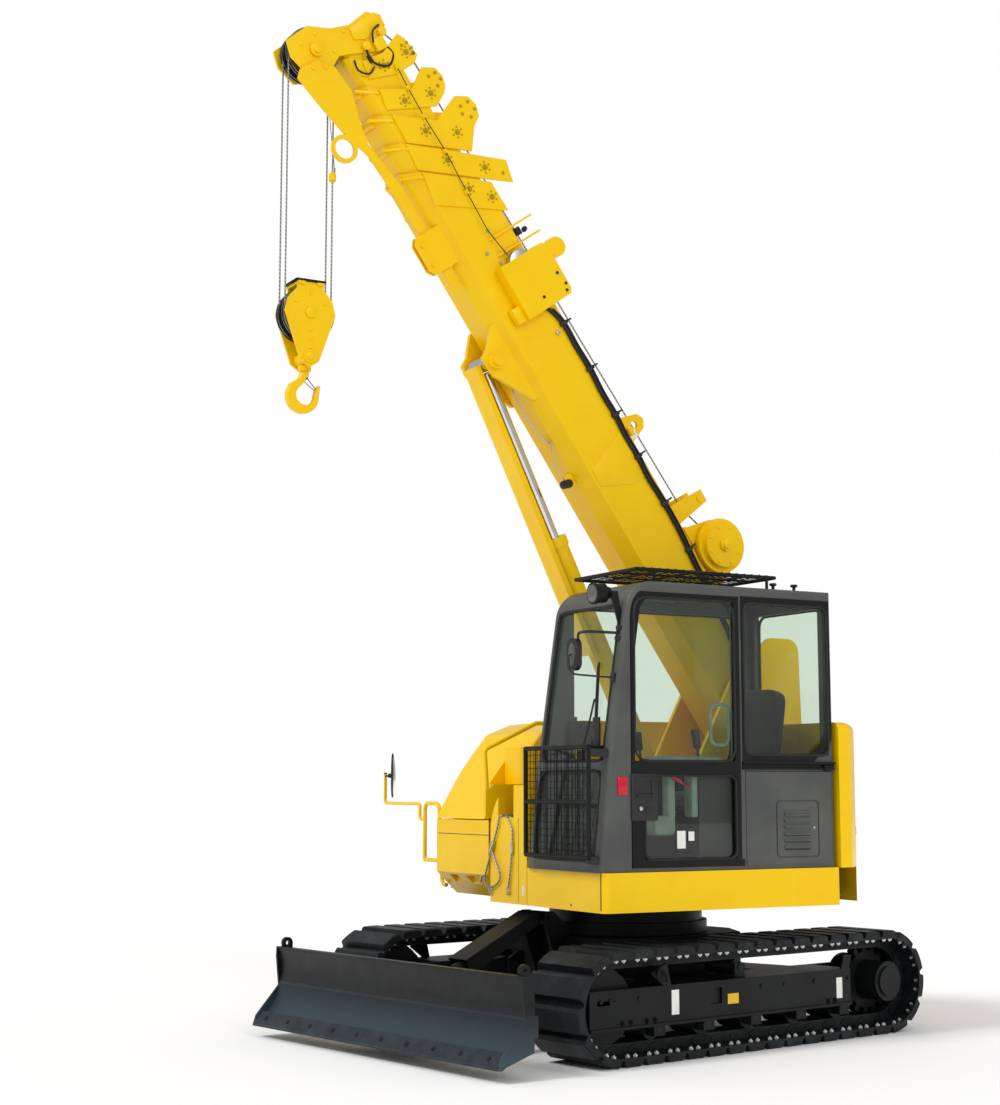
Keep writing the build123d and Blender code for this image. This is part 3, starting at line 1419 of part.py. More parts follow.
def sheave(x, y, z):
    """A grooved sheave round an X axis."""
    half = SHEAVE_WIDTH / 2
    wheel = x_bar(y, z, x - half, x + half, SHEAVE_RADIUS)
    groove = x_bar(y, z, x - GROOVE_WIDTH / 2, x + GROOVE_WIDTH / 2, SHEAVE_RADIUS + 1)
    groove -= x_bar(y, z, x - half, x + half, SHEAVE_PITCH - ROPE_RADIUS - PIN_GAP)
    return wheel - groove - x_bar(y, z, x - half - 1, x + half + 1, SHEAVE_BORE)


def make_head_sheaves():
    return joined(*[sheave(x, HEAD_Y, HEAD_Z) for x in (-SHEAVE_X, SHEAVE_X)])


def make_block_sheaves():
    return joined(*[sheave(x, HEAD_Y, BLOCK_Z) for x in (-SHEAVE_X, SHEAVE_X)])


HEAD_Y, HEAD_Z = boom_yz(HEAD_S, HEAD_V)
BLOCK_Z = HEAD_Z - BLOCK_DROP


def make_hoist_ropes():
    """The four falls between the head's sheaves and the block's."""
    falls = []
    for x in (-SHEAVE_X, SHEAVE_X):
        for y in (HEAD_Y - SHEAVE_PITCH, HEAD_Y + SHEAVE_PITCH):
            falls.append(bar((x, y, BLOCK_Z), (x, y, HEAD_Z), ROPE_RADIUS))
    return joined(*falls)


# hook block outline in (y, z) from its sheave pin
BLOCK_OUTLINE = [
    (-78, 150),
    (78, 150),
    (138, 80),
    (158, 0),
    (58, -283),
    (0, -323),
    (-58, -283),
    (-158, 0),
    (-138, 80),
]


def make_hook_block():
    block = x_bar(HEAD_Y, BLOCK_Z, -BLOCK_PLATE_X - 12, BLOCK_PLATE_X + 12, SHEAVE_BORE - PIN_GAP)
    for side in (-1, 1):
        x0, x1 = between(side * BLOCK_PLATE_X, side * (BLOCK_PLATE_X - BLOCK_PLATE))
        block += side_plate([(HEAD_Y + y, BLOCK_Z + z) for y, z in BLOCK_OUTLINE], x0, x1)
    block += x_bar(HEAD_Y, BLOCK_Z - TRUNNION_DROP, -BLOCK_PLATE_X - 10, BLOCK_PLATE_X + 10, TRUNNION)
    for y in (HEAD_Y - 60, HEAD_Y + 60):
        block += box(
            -BLOCK_PLATE_X - 12, BLOCK_PLATE_X + 12, y - 22, y + 22, BLOCK_Z + 166, BLOCK_Z + 182
        )
    for side in (-1, 1):
        x0, x1 = between(side * BLOCK_PLATE_X, side * (BLOCK_PLATE_X - BLOCK_PLATE))
        block += box(x0, x1, HEAD_Y - 82, HEAD_Y + 82, BLOCK_Z + 149, BLOCK_Z + 182)
    return block


# the hook's neck, tip and mouth as (y, z) from the middle of its bowl
HOOK_NECK = [(-24, 132), (24, 132), (20, 108), (-38, 38), (-104, 30), (-94, 62), (-40, 96)]
HOOK_TIP = [(57, -30), (57, 0), (66, 38), (80, 62), (95, 66), (89, 20), (84, -24)]
HOOK_MOUTH = [(-38, 38), (20, 108), (24, 140), (140, 140), (140, 0), (50, 0)]


def make_hook():
    """A forged hook that thins towards its tip, under the block's trunnion."""
    top = BLOCK_Z - TRUNNION_DROP - TRUNNION - PIN_GAP
    centre_z = BLOCK_Z - HOOK_DROP
    bowl = Pos(-14, -8) * Circle(HOOK_OUTER) - outline(HOOK_MOUTH)
    bowl = bowl + outline(HOOK_NECK) + outline(HOOK_TIP, {3: 6, 4: 5}) - Circle(HOOK_INNER)
    plane = Plane(origin=(-HOOK_HALF, HEAD_Y, centre_z), x_dir=(0, 1, 0), z_dir=(1, 0, 0))
    forged = plane * extrude(bowl, 2 * HOOK_HALF)
    sides = forged.faces().sort_by(Axis.X)
    rims = [e for face in (sides[0], sides[-1]) for e in face.edges() if e.center().Z < centre_z + 125]
    forged = fillet(rims, HOOK_ROUND)
    shank = bar((0, HEAD_Y, top), (0, HEAD_Y, centre_z + 100), HOOK_SHANK)
    nut = bar((0, HEAD_Y, top - 34), (0, HEAD_Y, top - 6), 38)
    return shank + nut + forged


# Luffing cylinder
LUFF_Y, LUFF_Z = boom_yz(LUFF_S, LUFF_V)
CYL_SPAN = hypot(LUFF_Y - CYL_FOOT_Y, LUFF_Z - CYL_FOOT_Z)
CYL_DIR = (0.0, (LUFF_Y - CYL_FOOT_Y) / CYL_SPAN, (LUFF_Z - CYL_FOOT_Z) / CYL_SPAN)


def cyl_point(d, x=0.0, side=0.0):
    """A point d along the cylinder from its foot, moved side towards the boom."""
    return (
        x,
        CYL_FOOT_Y + d * CYL_DIR[1] + side * CYL_DIR[2],
        CYL_FOOT_Z + d * CYL_DIR[2] - side * CYL_DIR[1],
    )


def make_luff_barrel():
    barrel = ring(cyl_point(70), cyl_point(BARREL_LENGTH - 60), BARREL_RADIUS, BARREL_BORE)
    barrel += ring(
        cyl_point(BARREL_LENGTH - 60), cyl_point(BARREL_LENGTH), BARREL_RADIUS + 8, ROD_RADIUS + PIN_GAP
    )
    barrel += bar(cyl_point(40), cyl_point(110), BARREL_RADIUS)
    return barrel + x_bar(CYL_FOOT_Y, CYL_FOOT_Z, -FOOT_LUG_X + 5, FOOT_LUG_X - 5, 66)


def make_luff_rod():
    rod = bar(cyl_point(CYL_SPAN - ROD_LENGTH), cyl_point(CYL_SPAN - 20), ROD_RADIUS)
    rod += x_bar(LUFF_Y, LUFF_Z, -EAR_X + 6, EAR_X - 6, LUFF_EYE)
    return rod - x_bar(LUFF_Y, LUFF_Z, -EAR_X, EAR_X, LUFF_PIN + PIN_GAP)


def cyl_plate(corners, x0, x1):
    """A plate from x0 to x1 through (distance along the cylinder, offset) corners."""
    return side_plate([cyl_point(d, 0, off)[1:] for d, off in corners], x0, x1)


def make_luff_guard():
    """The channel in front of the cylinder that hangs from the rod's eye."""
    far, near = CYL_SPAN - GUARD_LENGTH, CYL_SPAN + 15
    out = -GUARD_OFF - 6
    guard = cyl_plate([(far, out), (near, out), (near, -62), (far, -62)], -GUARD_HALF, GUARD_HALF)
    hollow = [(far - 1, -GUARD_OFF), (near + 1, -GUARD_OFF), (near + 1, 0), (far - 1, 0)]
    guard -= cyl_plate(hollow, -GUARD_HALF + 5, GUARD_HALF - 5)
    hanger = [
        (near - 45, -GUARD_OFF - 1),
        (near - 45, -LUFF_EYE - SEAT_GAP),
        (near, -LUFF_EYE - SEAT_GAP),
        (near, -GUARD_OFF - 1),
    ]
    return guard + cyl_plate(hanger, -45, 45)


def make_handrail():
    """The grab rail on the tank cover's nose."""
    x = -BRACKET_NOTCH - CURB / 2
    points = [
        (x, -822, CURB_TOP + SEAT_GAP + 1),
        (x, -838, 1700),
        (x, -470, 1868),
        (x, -400, 1868),
        (x, -400, 1827.5),
    ]
    return pipe(points, 14, 30)


def make_mirror_post():
    """The right mirror's tube loop and arm."""
    y = -775.0
    loop = pipe(
        [
            (NOSE_RIGHT - SEAT_GAP, y, 850),
            (-960, y, 850),
            (-1010, y, 1366),
            (-1210, y, 1366),
            (-1210, y, 1000),
        ],
        13,
        45,
    )
    arm = pipe(
        [(-1210, y, 1262), (-1285, y, 1262), (-1285, y, 1362), (-1815, y, 1362), (-1815, y, 1560)],
        11,
        22,
    )
    foot = bar((-1210, y, 1000), (NOSE_RIGHT - SEAT_GAP, y, 1000), 13)
    return loop + arm + foot


def make_mirror_right():
    glass = front_plate(
        [(-1745, 1400), (-1640, 1400), (-1640, 1700), (-1745, 1700)],
        -800,
        -765,
        {0: 25, 1: 25, 2: 25, 3: 25},
    )
    return glass + bar((-1735, -778, 1550), (-1815 + 11 + SEAT_GAP, -778, 1550), 8)


def make_work_lamp():
    """Round lamp on a bracket at the roof's front corner."""
    x, y, z = WORK_LAMP
    lamp = bar((x, y, z), (x, y - 62, z - 6), 56) + bar((x, y - 62, z - 6), (x, y - 76, z - 7), 62)
    lamp += bar((x, y + 34, z + 3), (x, y, z), 34)
    # a plate on the corner post carries the lamp by a short cross bar
    post = CAB_LEFT - 48
    low, high = z - 200, z - 110
    plate = [
        (front_y(low) - SEAT_GAP, low),
        (front_y(high) - SEAT_GAP, high),
        (y + 44, z + 6),
        (y + 4, z + 6),
        (y + 4, z - 34),
    ]
    lamp += side_plate(plate, post - 6, post + 6)
    return lamp + bar((post, y + 24, z - 10), (x, y + 24, z - 10), 12)


def make_mirror_left():
    """The left mirror with its bent arm on the cab's front corner."""
    y = -905.0
    glass = front_plate(
        [(830, 2120), (945, 2120), (945, 2300), (830, 2300)],
        y - 16,
        y + 16,
        {0: 45, 1: 45, 2: 45, 3: 45},
    )
    arm = pipe(
        [(1030, front_y(2322) - SEAT_GAP, 2330), (1030, y, 2330), (930, y, 2330), (930, y, 2292)], 8, 20
    )
    return glass + arm


def upper(shape):
    return Rot(0, 0, SLEW_ANGLE) * shape


LOWER_NODES = {
    "track_left": make_track(1),
    "track_right": make_track(-1),
    "side_frame_left": make_side_frame(1),
    "side_frame_right": make_side_frame(-1),
    "idlers": make_idlers(),
    "sprockets": make_sprockets(),
    "rollers": make_rollers(),
    "carbody": make_carbody(),
    "slew_ring": make_slew_ring(),
    "blade": make_blade(),
    "blade_arms": make_blade_arms(),
    "lift_barrel": make_lift_barrel(),
    "lift_cover": make_lift_cover(),
    "lift_rod": make_lift_rod(),
}
UPPER_NODES = {
    "deck": make_deck(),
    "skirt": make_skirt(),
    "cab_frame": make_cab_frame(),
    "cab_door": make_cab_door(),
    "cab_rear_panel": make_cab_rear_panel(),
    "cab_glass": make_cab_glass(),
    "windscreen": make_windscreen(),
    "seat": make_seat(),
    "consoles": make_consoles(),
    "front_guard": make_front_guard(),
    "roof_guard": make_roof_guard(),
    "tank_cover": make_tank_cover(),
    "front_box": make_front_box(),
    "counterweight": make_counterweight(),
    "engine_hood": make_engine_hood(),
    "engine": make_engine(),
    "boom_bracket": make_boom_bracket(),
    "arch_plate": make_arch_plate(),
    "boom_base": make_boom_base(),
    "winch_frame": make_winch_frame(),
    "winch_drum": make_drum(),
    "boom_head": make_boom_head(),
    "head_sheaves": make_head_sheaves(),
    "block_sheaves": make_block_sheaves(),
    "cover_box": make_cover_box(),
    "strip": make_strip(),
    "luff_guard": make_luff_guard(),
    "handrail": make_handrail(),
    "mirror_post": make_mirror_post(),
    "mirror_right": make_mirror_right(),
    "mirror_left": make_mirror_left(),
    "work_lamp": make_work_lamp(),
    "hoist_ropes": make_hoist_ropes(),
    "hook_block": make_hook_block(),
    "hook": make_hook(),
    "luff_barrel": make_luff_barrel(),
    "luff_rod": make_luff_rod(),
}
for number in range(2, 7):
    UPPER_NODES[f"boom_section_{number}"] = make_section(number)

for name, shape in LOWER_NODES.items():
    export_step(shape, f"parts/{name}.step")
for name, shape in UPPER_NODES.items():
    export_step(upper(shape), f"parts/{name}.step")
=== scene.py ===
# %% [markdown]
# A compact crawler crane: two short steel tracks with a blade in front, a slewing deck with
# a cab, and a six part telescopic boom with a hook block.
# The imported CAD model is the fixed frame. Every finish and every small fitting below is laid
# over it in the same metres, so nothing has to be scaled or fitted by eye.

# %% Load the frame
from functools import partial
from math import cos, pi, radians, sin

import bmesh
import bpy
from mathutils import Matrix, Vector


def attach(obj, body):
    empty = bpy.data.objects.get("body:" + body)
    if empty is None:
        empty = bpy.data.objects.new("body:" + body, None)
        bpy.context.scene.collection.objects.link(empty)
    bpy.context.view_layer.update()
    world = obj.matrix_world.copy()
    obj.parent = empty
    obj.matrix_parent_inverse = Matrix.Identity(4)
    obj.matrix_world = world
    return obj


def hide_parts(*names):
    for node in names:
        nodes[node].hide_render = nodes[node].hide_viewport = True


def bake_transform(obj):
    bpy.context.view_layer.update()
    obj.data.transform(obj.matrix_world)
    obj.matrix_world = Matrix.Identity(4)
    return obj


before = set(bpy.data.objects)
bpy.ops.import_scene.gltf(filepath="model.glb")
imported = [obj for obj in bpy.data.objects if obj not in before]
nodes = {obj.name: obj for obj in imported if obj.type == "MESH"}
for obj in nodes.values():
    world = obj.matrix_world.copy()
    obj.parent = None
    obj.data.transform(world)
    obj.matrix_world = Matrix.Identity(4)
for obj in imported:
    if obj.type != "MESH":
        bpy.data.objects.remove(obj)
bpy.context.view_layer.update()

# %% [markdown]
# The crane stands with its upper works slewed a little to one side, and its boom is raised.
# Pieces are easier to place in the directions of what carries them, so there is one matrix
# for the upper works and one for the boom. Boom coordinates are (across the machine, along
# the boom, up from it), counted from the foot pin.

# %% Working directions
SLEW = radians(-10)
LUFF = radians(55)
FOOT_PIN = Vector((0, 0.82, 2.06))
LEVEL = Matrix.Identity(4)
UPPER = Matrix.Rotation(SLEW, 4, "Z")
BOOM = UPPER @ Matrix.Translation(FOOT_PIN) @ Matrix((
    (1, 0, 0, 0),
    (0, -cos(LUFF), sin(LUFF), 0),
    (0, sin(LUFF), cos(LUFF), 0),
    (0, 0, 0, 1),
))
PIN_S, PIN_V = 4.774, -0.332  # the head sheaves' pin, along the boom and above its axis
HEAD_PIN = BOOM @ Vector((0, PIN_S, PIN_V))
BLOCK_DROP = 1.58
print("head pin at", [round(c, 3) for c in HEAD_PIN])

# %% [markdown]
# Paint, rubber, rope and glass are all node materials. Colours are written as the hex value
# that a colour picker shows, so one function turns them to the linear values that the shader
# wants. Another adds a node with its settings and links, and every finish is made with it.

# %% Node helpers
def linear(code):
    """A hex colour as linear red, green, blue and alpha."""
    channels = [int(code[i:i + 2], 16) / 255 for i in (1, 3, 5)]
    return tuple(c / 12.92 if c <= 0.04045 else ((c + 0.055) / 1.055) ** 2.4 for c in channels) + (1.0,)


def add(tree, kind, inputs=None, stops=(), **settings):
    """Adds a node. An input takes a value, a hex colour, a socket or a node's first output."""
    node = tree.nodes.new("ShaderNode" + kind)
    for key, value in settings.items():
        setattr(node, key, value)
    for key, value in (inputs or {}).items():
        value = value.outputs[0] if isinstance(value, bpy.types.Node) else value
        if isinstance(value, bpy.types.NodeSocket):
            tree.links.new(value, node.inputs[key])
        else:
            node.inputs[key].default_value = linear(value) if isinstance(value, str) else value
    for i, (position, code) in enumerate(stops):
        row = node.color_ramp.elements
        element = row[i] if i < 2 else row.new(position)
        element.position, element.color = position, linear(code)
    return node


def start(name):
    """A new material, a function that adds a node to it, and its own coordinates."""
    print("finish", name)
    material = bpy.data.materials.new(name)
    material.use_nodes = True
    material.node_tree.nodes.clear()
    node = partial(add, material.node_tree)
    return material, node, node("TexCoord").outputs["Object"]


def shaded(material, node, inputs):
    """Ends a material with one plain shader that has these inputs."""
    node("OutputMaterial", {0: node("BsdfPrincipled", inputs)})
    return material


print("mid grey #808080 is", round(linear("#808080")[0], 3), "in linear light")

# %% [markdown]
# Machine paint is a two part enamel sprayed on steel. It is smooth and glossy, with a faint
# orange peel some 3 mm across, and after a season of work a film of dust breaks its gloss in
# patches a hand or two wide. A noise of each size drives the bump, the gloss and the tone.

# %% Sprayed enamel
def sprayed_enamel(name, tones, gloss, coat=0.0, peel_mm=3.0, shine=0.3):
    """Paint with (dull, plain, bright) tones and a (smooth, dusty) roughness."""
    material, node, place = start(name)
    dust = node("TexNoise", {"Vector": place, "Scale": 3.2, "Detail": 5.0, "Roughness": 0.6})
    peel = node("TexNoise", {"Vector": place, "Scale": 1000 / peel_mm, "Detail": 1.0})
    return shaded(material, node, {
        "Base Color": node("ValToRGB", {0: dust}, zip((0.28, 0.5, 0.74), tones)),
        "Roughness": node("MapRange", {0: dust, 3: gloss[1], 4: gloss[0]}),
        "Normal": node("Bump", {"Height": peel, "Distance": 0.00006, "Strength": 0.6}),
        "Specular IOR Level": shine, "Coat Weight": coat, "Coat Roughness": 0.08})


YELLOW = sprayed_enamel("yellow_enamel", ("#f5c400", "#f9ca00", "#fbcf03"), (0.24, 0.36), 0.08, shine=0.2)
BLACK = sprayed_enamel("black_enamel", ("#0d0e0e", "#121414", "#191b1d"), (0.34, 0.52), shine=0.2)
CAB_GREY = sprayed_enamel("grey_enamel", ("#4a4c4b", "#525452", "#5b5d5a"), (0.34, 0.46), peel_mm=2.0)
FRAME_BLACK = sprayed_enamel("door_black", ("#0f100f", "#151615", "#1b1c1b"), (0.34, 0.46), peel_mm=2.0,
    shine=0.2)
# A darker copy of the yellow enamel: painted shade for the collar bolts and their rosettes.
SHADED_YELLOW = sprayed_enamel("shaded_bolt_enamel", ("#a07e08", "#b0900a", "#bc9a0c"), (0.4, 0.5),
    shine=0.2)

# %% [markdown]
# The shoes and the blade are painted too, but the ground wears them: the paint thins to a
# paler blue grey in patches, with fine scratches, and dry soil stays in the low parts. Low on
# the blade a blue grey painted reflection of the sky is mixed into its colour, fading upwards.

# %% Worn track steel, with a painted reflection on the blade
def worn_steel(name, tones, soil, polish, painted_reflection=None):
    """Worn paint with (dark, plain, bright) tones; the last argument is a painted reflection, (low, high,
    colour), strongest below low and gone above high.
    """
    material, node, place = start(name)
    wear = node("TexNoise", {"Vector": place, "Scale": 9.0, "Detail": 8.0, "Roughness": 0.65})
    grit = node("TexNoise", {"Vector": place, "Scale": 240.0, "Detail": 3.0})
    base = node("ValToRGB", {0: wear}, zip((0.3, 0.52, 0.75), tones))
    earth = node("ValToRGB", {0: grit}, ((0.62, "#000000"), (0.72, "#ffffff")))
    # Painted reflection: a blue grey of the sky is mixed into the colour low on the part and fades out
    # upwards.
    if painted_reflection:
        height = node("SeparateXYZ", {0: place}).outputs[2]
        low = node("MapRange", {0: height, 1: painted_reflection[0], 2: painted_reflection[1], 3: 0.85, 4: 0.0})
        base = node("Mix", {0: low, 6: base, 7: painted_reflection[2]}, data_type="RGBA").outputs[2]
    share = node("MapRange", {0: earth, 3: 0.0, 4: 0.35})
    return shaded(material, node, {
        "Base Color": node("Mix", {0: share, 6: base, 7: soil}, data_type="RGBA").outputs[2],
        "Roughness": node("MapRange", {0: wear, 3: polish[1], 4: polish[0]}),
        "Normal": node("Bump", {"Height": grit, "Distance": 0.0004, "Strength": 0.5}),
        "Metallic": 0.2, "Specular IOR Level": 0.25})


TRACK = worn_steel("worn_shoe_steel", ("#101315", "#1a1e21", "#2c3439"), "#3a362e", (0.32, 0.55))
# The blade's colour carries a painted reflection of the sky, blue grey low on its face.
BLADE = worn_steel("worn_blade_steel_painted_reflection", ("#111313", "#171919", "#1e2122"), "#2a2928", (0.28, 0.44),
    (0.1, 0.36, "#40525a"))
EDGE = worn_steel("worn_cutting_edge", ("#22282c", "#2b3338", "#384248"), "#3a3733", (0.26, 0.42))
LINK = worn_steel("forged_link_steel", ("#0e1011", "#16191b", "#22272a"), "#3d382f", (0.4, 0.6))

# %% [markdown]
# Bare metals: turned and oiled steel on wheels and rings, hard chrome on the piston rods,
# zinc on bolts and shackles, and wire rope, whose wires show as bands 6 mm apart.

# %% Bare metals
def bare_metal(name, tones, polish, grain=60.0):
    material, node, place = start(name)
    cloud = node("TexNoise", {"Vector": place, "Scale": grain, "Detail": 4.0})
    return shaded(material, node, {
        "Base Color": node("ValToRGB", {0: cloud}, zip((0.3, 0.7), tones)),
        "Roughness": node("MapRange", {0: cloud, 3: polish[0], 4: polish[1]}), "Metallic": 1.0})


STEEL = bare_metal("turned_steel", ("#6d6d6c", "#8a8a88"), (0.3, 0.45))
CHROME = bare_metal("hard_chrome", ("#d5d7d8", "#e6e7e8"), (0.05, 0.12), 12.0)
ZINC = bare_metal("zinc_plate", ("#b4b5b0", "#d8d8d4"), (0.25, 0.42), 220.0)
IRON = bare_metal("cast_engine_iron", ("#2c2c2d", "#3c3c3e"), (0.55, 0.7), 90.0)


def wire_rope(name, tones, lay_mm):
    """Twisted strands: bands that run slantwise round the rope, read from its own UV map."""
    material, node, _ = start(name)
    uv = node("UVMap", uv_map="along")
    band = node("TexWave", {"Vector": uv, "Scale": 1000 / lay_mm / (2 * pi), "Distortion": 0.0},
                bands_direction="DIAGONAL").outputs[1]
    return shaded(material, node, {
        "Base Color": node("ValToRGB", {0: band}, zip((0.15, 0.7), tones)),
        "Normal": node("Bump", {"Height": band, "Distance": 0.0012, "Strength": 0.8}),
        "Metallic": 0.85, "Roughness": 0.42})


ROPE = wire_rope("greased_wire_rope", ("#7a7a77", "#b6b6b2"), 6.0)

# %% [markdown]
# Moulded parts: mirror shells, the cab's trim and hoses are black plastic or rubber with a
# leather like grain of about a millimetre. Seat cloth is a weave of 4 mm threads, coarser
# than the real one so that it shows.

# %% Moulded plastic, rubber and cloth
def moulded(name, tones, roughness, grain_mm, depth=0.0001):
    material, node, place = start(name)
    grain = node("TexVoronoi", {"Vector": place, "Scale": 1000 / grain_mm})
    cloud = node("TexNoise", {"Vector": place, "Scale": 14.0, "Detail": 4.0})
    return shaded(material, node, {
        "Base Color": node("ValToRGB", {0: cloud}, zip((0.35, 0.7), tones)), "Roughness": roughness,
        "Normal": node("Bump", {"Height": grain, "Distance": depth, "Strength": 0.5})})


PLASTIC = moulded("moulded_plastic", ("#141414", "#1d1d1c"), 0.5, 1.2)
RUBBER = moulded("rubber", ("#0f0f10", "#191919"), 0.62, 0.8)
CONSOLE = moulded("grey_green_moulding", ("#6f7f76", "#84958b"), 0.55, 1.5)
RED = moulded("red_lens", ("#c0051c", "#d80a24"), 0.18, 6.0)
LABEL = moulded("blank_label_film", ("#e4e4df", "#efefea"), 0.4, 3.0, 0.00002)
LABEL_YELLOW = moulded("blank_yellow_film", ("#e8b400", "#f0bf10"), 0.4, 3.0, 0.00002)


def woven_cloth(name, tones, thread_mm):
    material, node, place = start(name)
    warp, weft = (
        node("TexWave", {"Vector": place, "Scale": 1000 / thread_mm / (2 * pi)},
            bands_direction=way).outputs[1]
        for way in "XZ")
    weave = node("Math", {0: warp, 1: weft}, operation="MULTIPLY")
    return shaded(material, node, {
        "Base Color": node("ValToRGB", {0: weave}, zip((0.0, 0.8), tones)),
        "Normal": node("Bump", {"Height": weave, "Distance": 0.0006, "Strength": 0.6}),
        "Roughness": 0.85, "Sheen Weight": 0.2})


CLOTH = woven_cloth("seat_cloth", ("#101112", "#25272a"), 4.0)

# %% [markdown]
# Cab windows are flat tempered glass with a slight green tint. Thin panes look right as a
# mix of a clear tinted sheet and a mirror that grows towards grazing angles, and that stays
# cheap to render because light passes straight through.

# %% Tinted window glass
def window_glass(name, tint, dust_share):
    material, node, place = start(name)
    film = node("TexNoise", {"Vector": place, "Scale": 5.0, "Detail": 6.0})
    clear = node("BsdfTransparent", {0: tint})
    mirror = node("BsdfGlossy", {"Color": "#ffffff", "Roughness": 0.02})
    dust = node("BsdfDiffuse", {0: "#cfd6d2"})
    inside = node("NewGeometry").outputs["Backfacing"]
    edge = node("MapRange", {0: inside, 3: node("Fresnel", {"IOR": 1.52}), 4: 0.0})
    pane = node("MixShader", {0: edge, 1: clear, 2: mirror})
    share = node("MapRange", {0: film, 3: 0.0, 4: dust_share})
    node("OutputMaterial", {0: node("MixShader", {0: share, 1: pane, 2: dust})})
    return material


GLASS = window_glass("tinted_glass", "#f3f8f3", 0.012)
LENS = window_glass("clear_lens", "#f2f4f2", 0.25)

# %% [markdown]
# Every CAD node gets its finish here. A node's mesh stays as it is: only its material slot
# is filled.

# %% Finish the CAD nodes
FINISHES = [
    (YELLOW, "skirt tank_cover front_box counterweight engine_hood boom_bracket arch_plate handrail"),
    (YELLOW, "mirror_post boom_base winch_frame cover_box boom_head strip luff_guard luff_barrel"),
    (YELLOW, "hook_block hook boom_section_2 boom_section_3 boom_section_4 boom_section_5 boom_section_6"),
    (BLACK, "side_frame_left side_frame_right idlers sprockets carbody blade_arms lift_barrel lift_cover"),
    (BLACK, "deck front_guard roof_guard work_lamp slew_ring"),
    (BLADE, "blade"),
    (TRACK, "track_left track_right rollers"),
    (STEEL, "winch_drum head_sheaves block_sheaves"),
    (CHROME, "lift_rod luff_rod"),
    (CAB_GREY, "cab_frame cab_rear_panel"),
    (FRAME_BLACK, "cab_door"),
    (GLASS, "cab_glass windscreen"),
    (CLOTH, "seat"),
    (PLASTIC, "mirror_right mirror_left consoles"),
    (IRON, "engine"),
    (ROPE, "hoist_ropes"),
]
for finish, names in FINISHES:
    for name in names.split():
        nodes[name].data.materials.clear()
        nodes[name].data.materials.append(finish)
print("finished", sum(len(names.split()) for _, names in FINISHES), "of", len(nodes), "nodes")

# %% [markdown]
# Small fittings are meshes shaped by bmesh operators. A few helpers cover nearly all of them:
# a bevelled block, a round bar between two points or along an axis, a plate pushed out of its
# outline, a tube that follows points and a hexagon nut. All of them work in one mesh, bm. The
# first helper turns what is in it into a named piece with a finish, which rides on a body of
# the crane, and leaves bm empty for the next one.

# %% Mesh helpers
LINE = Matrix.Translation(HEAD_PIN) @ UPPER
PLACES = {
    "undercarriage": LEVEL, "blade": LEVEL, "upper": UPPER,
    "hoist_line": LINE, "hook_block": LINE, "hook": LINE,
}
BEVEL = {"affect": "EDGES", "profile": 0.5, "material": -1}
X, Y, Z = Matrix.Identity(3)
bm = bmesh.new()


def piece(name, finish, body, place=None, crease=35):
    """Makes a piece of the mesh: put in its place, smooth but for its sharp edges, and riding."""
    bm.transform(PLACES.get(body, BOOM) if place is None else place)
    bmesh.ops.recalc_face_normals(bm, faces=bm.faces)
    for face in bm.faces:
        face.smooth = True
    mesh = bpy.data.meshes.new(name)
    bm.to_mesh(mesh)
    bm.clear()
    mesh.set_sharp_from_angle(angle=radians(crease))
    mesh.materials.append(finish)
    obj = bpy.data.objects.new(name, mesh)
    bpy.context.scene.collection.objects.link(obj)
    if body:
        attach(obj, body)
    print(name, "has", len(mesh.polygons), "faces")
    return obj


def edges_of(verts):
    """The edges at these vertices, each once and always in the same order."""
    return list(dict.fromkeys(edge for vert in verts for edge in vert.link_edges))


def kept(items, kind):
    """The items of one kind among those that an operator returns."""
    return [item for item in items if isinstance(item, kind)]


def block(low, high, edge=0.0, segments=2):
    """A box between two corners with rounded edges."""
    low, high = Vector(low), Vector(high)
    place = Matrix.Translation((low + high) / 2) @ Matrix.Diagonal((*(high - low), 1))
    verts = bmesh.ops.create_cube(bm, size=1.0, matrix=place)["verts"]
    if edge:
        bmesh.ops.bevel(bm, geom=edges_of(verts), offset=edge, segments=segments, **BEVEL)


def facing(point, way):
    """A place at a point whose Z looks along way."""
    return Matrix.Translation(Vector(point)) @ Vector(way).to_track_quat("Z", "Y").to_matrix().to_4x4()


def rod(start, end, radius, sides=16, edge=0.0, tip=None):
    """A round bar from start to end with rounded rims; tip is another radius at its end."""
    start, end = Vector(start), Vector(end)
    way = end - start
    verts = bmesh.ops.create_cone(
        bm, cap_ends=True, segments=sides, radius1=radius, radius2=radius if tip is None else tip,
        depth=way.length, matrix=facing((start + end) / 2, way))["verts"]
    if edge:
        rims = [e for e in edges_of(verts)
                if abs((e.verts[0].co - e.verts[1].co).dot(way)) < 1e-5 * way.length]
        bmesh.ops.bevel(bm, geom=rims, offset=edge, segments=2, **BEVEL)


def stud(start, way, *shape, **more):
    """A round bar that goes a way from its start, such as 0.01 * X."""
    rod(start, Vector(start) + way, *shape, **more)


def plate(outline, depth, edge=0.0):
    """A flat outline pushed out by depth, with its rims rounded."""
    corners = [bm.verts.new(point) for point in outline]
    made = bmesh.ops.extrude_face_region(bm, geom=[bm.faces.new(corners)])["geom"]
    verts = kept(made, bmesh.types.BMVert)
    bmesh.ops.translate(bm, verts=verts, vec=Vector(depth))
    if edge:
        rims = [e for e in edges_of(verts) if e.verts[0] in verts and e.verts[1] in verts]
        bmesh.ops.bevel(bm, geom=rims, offset=edge, segments=2, **BEVEL)
    return corners + verts


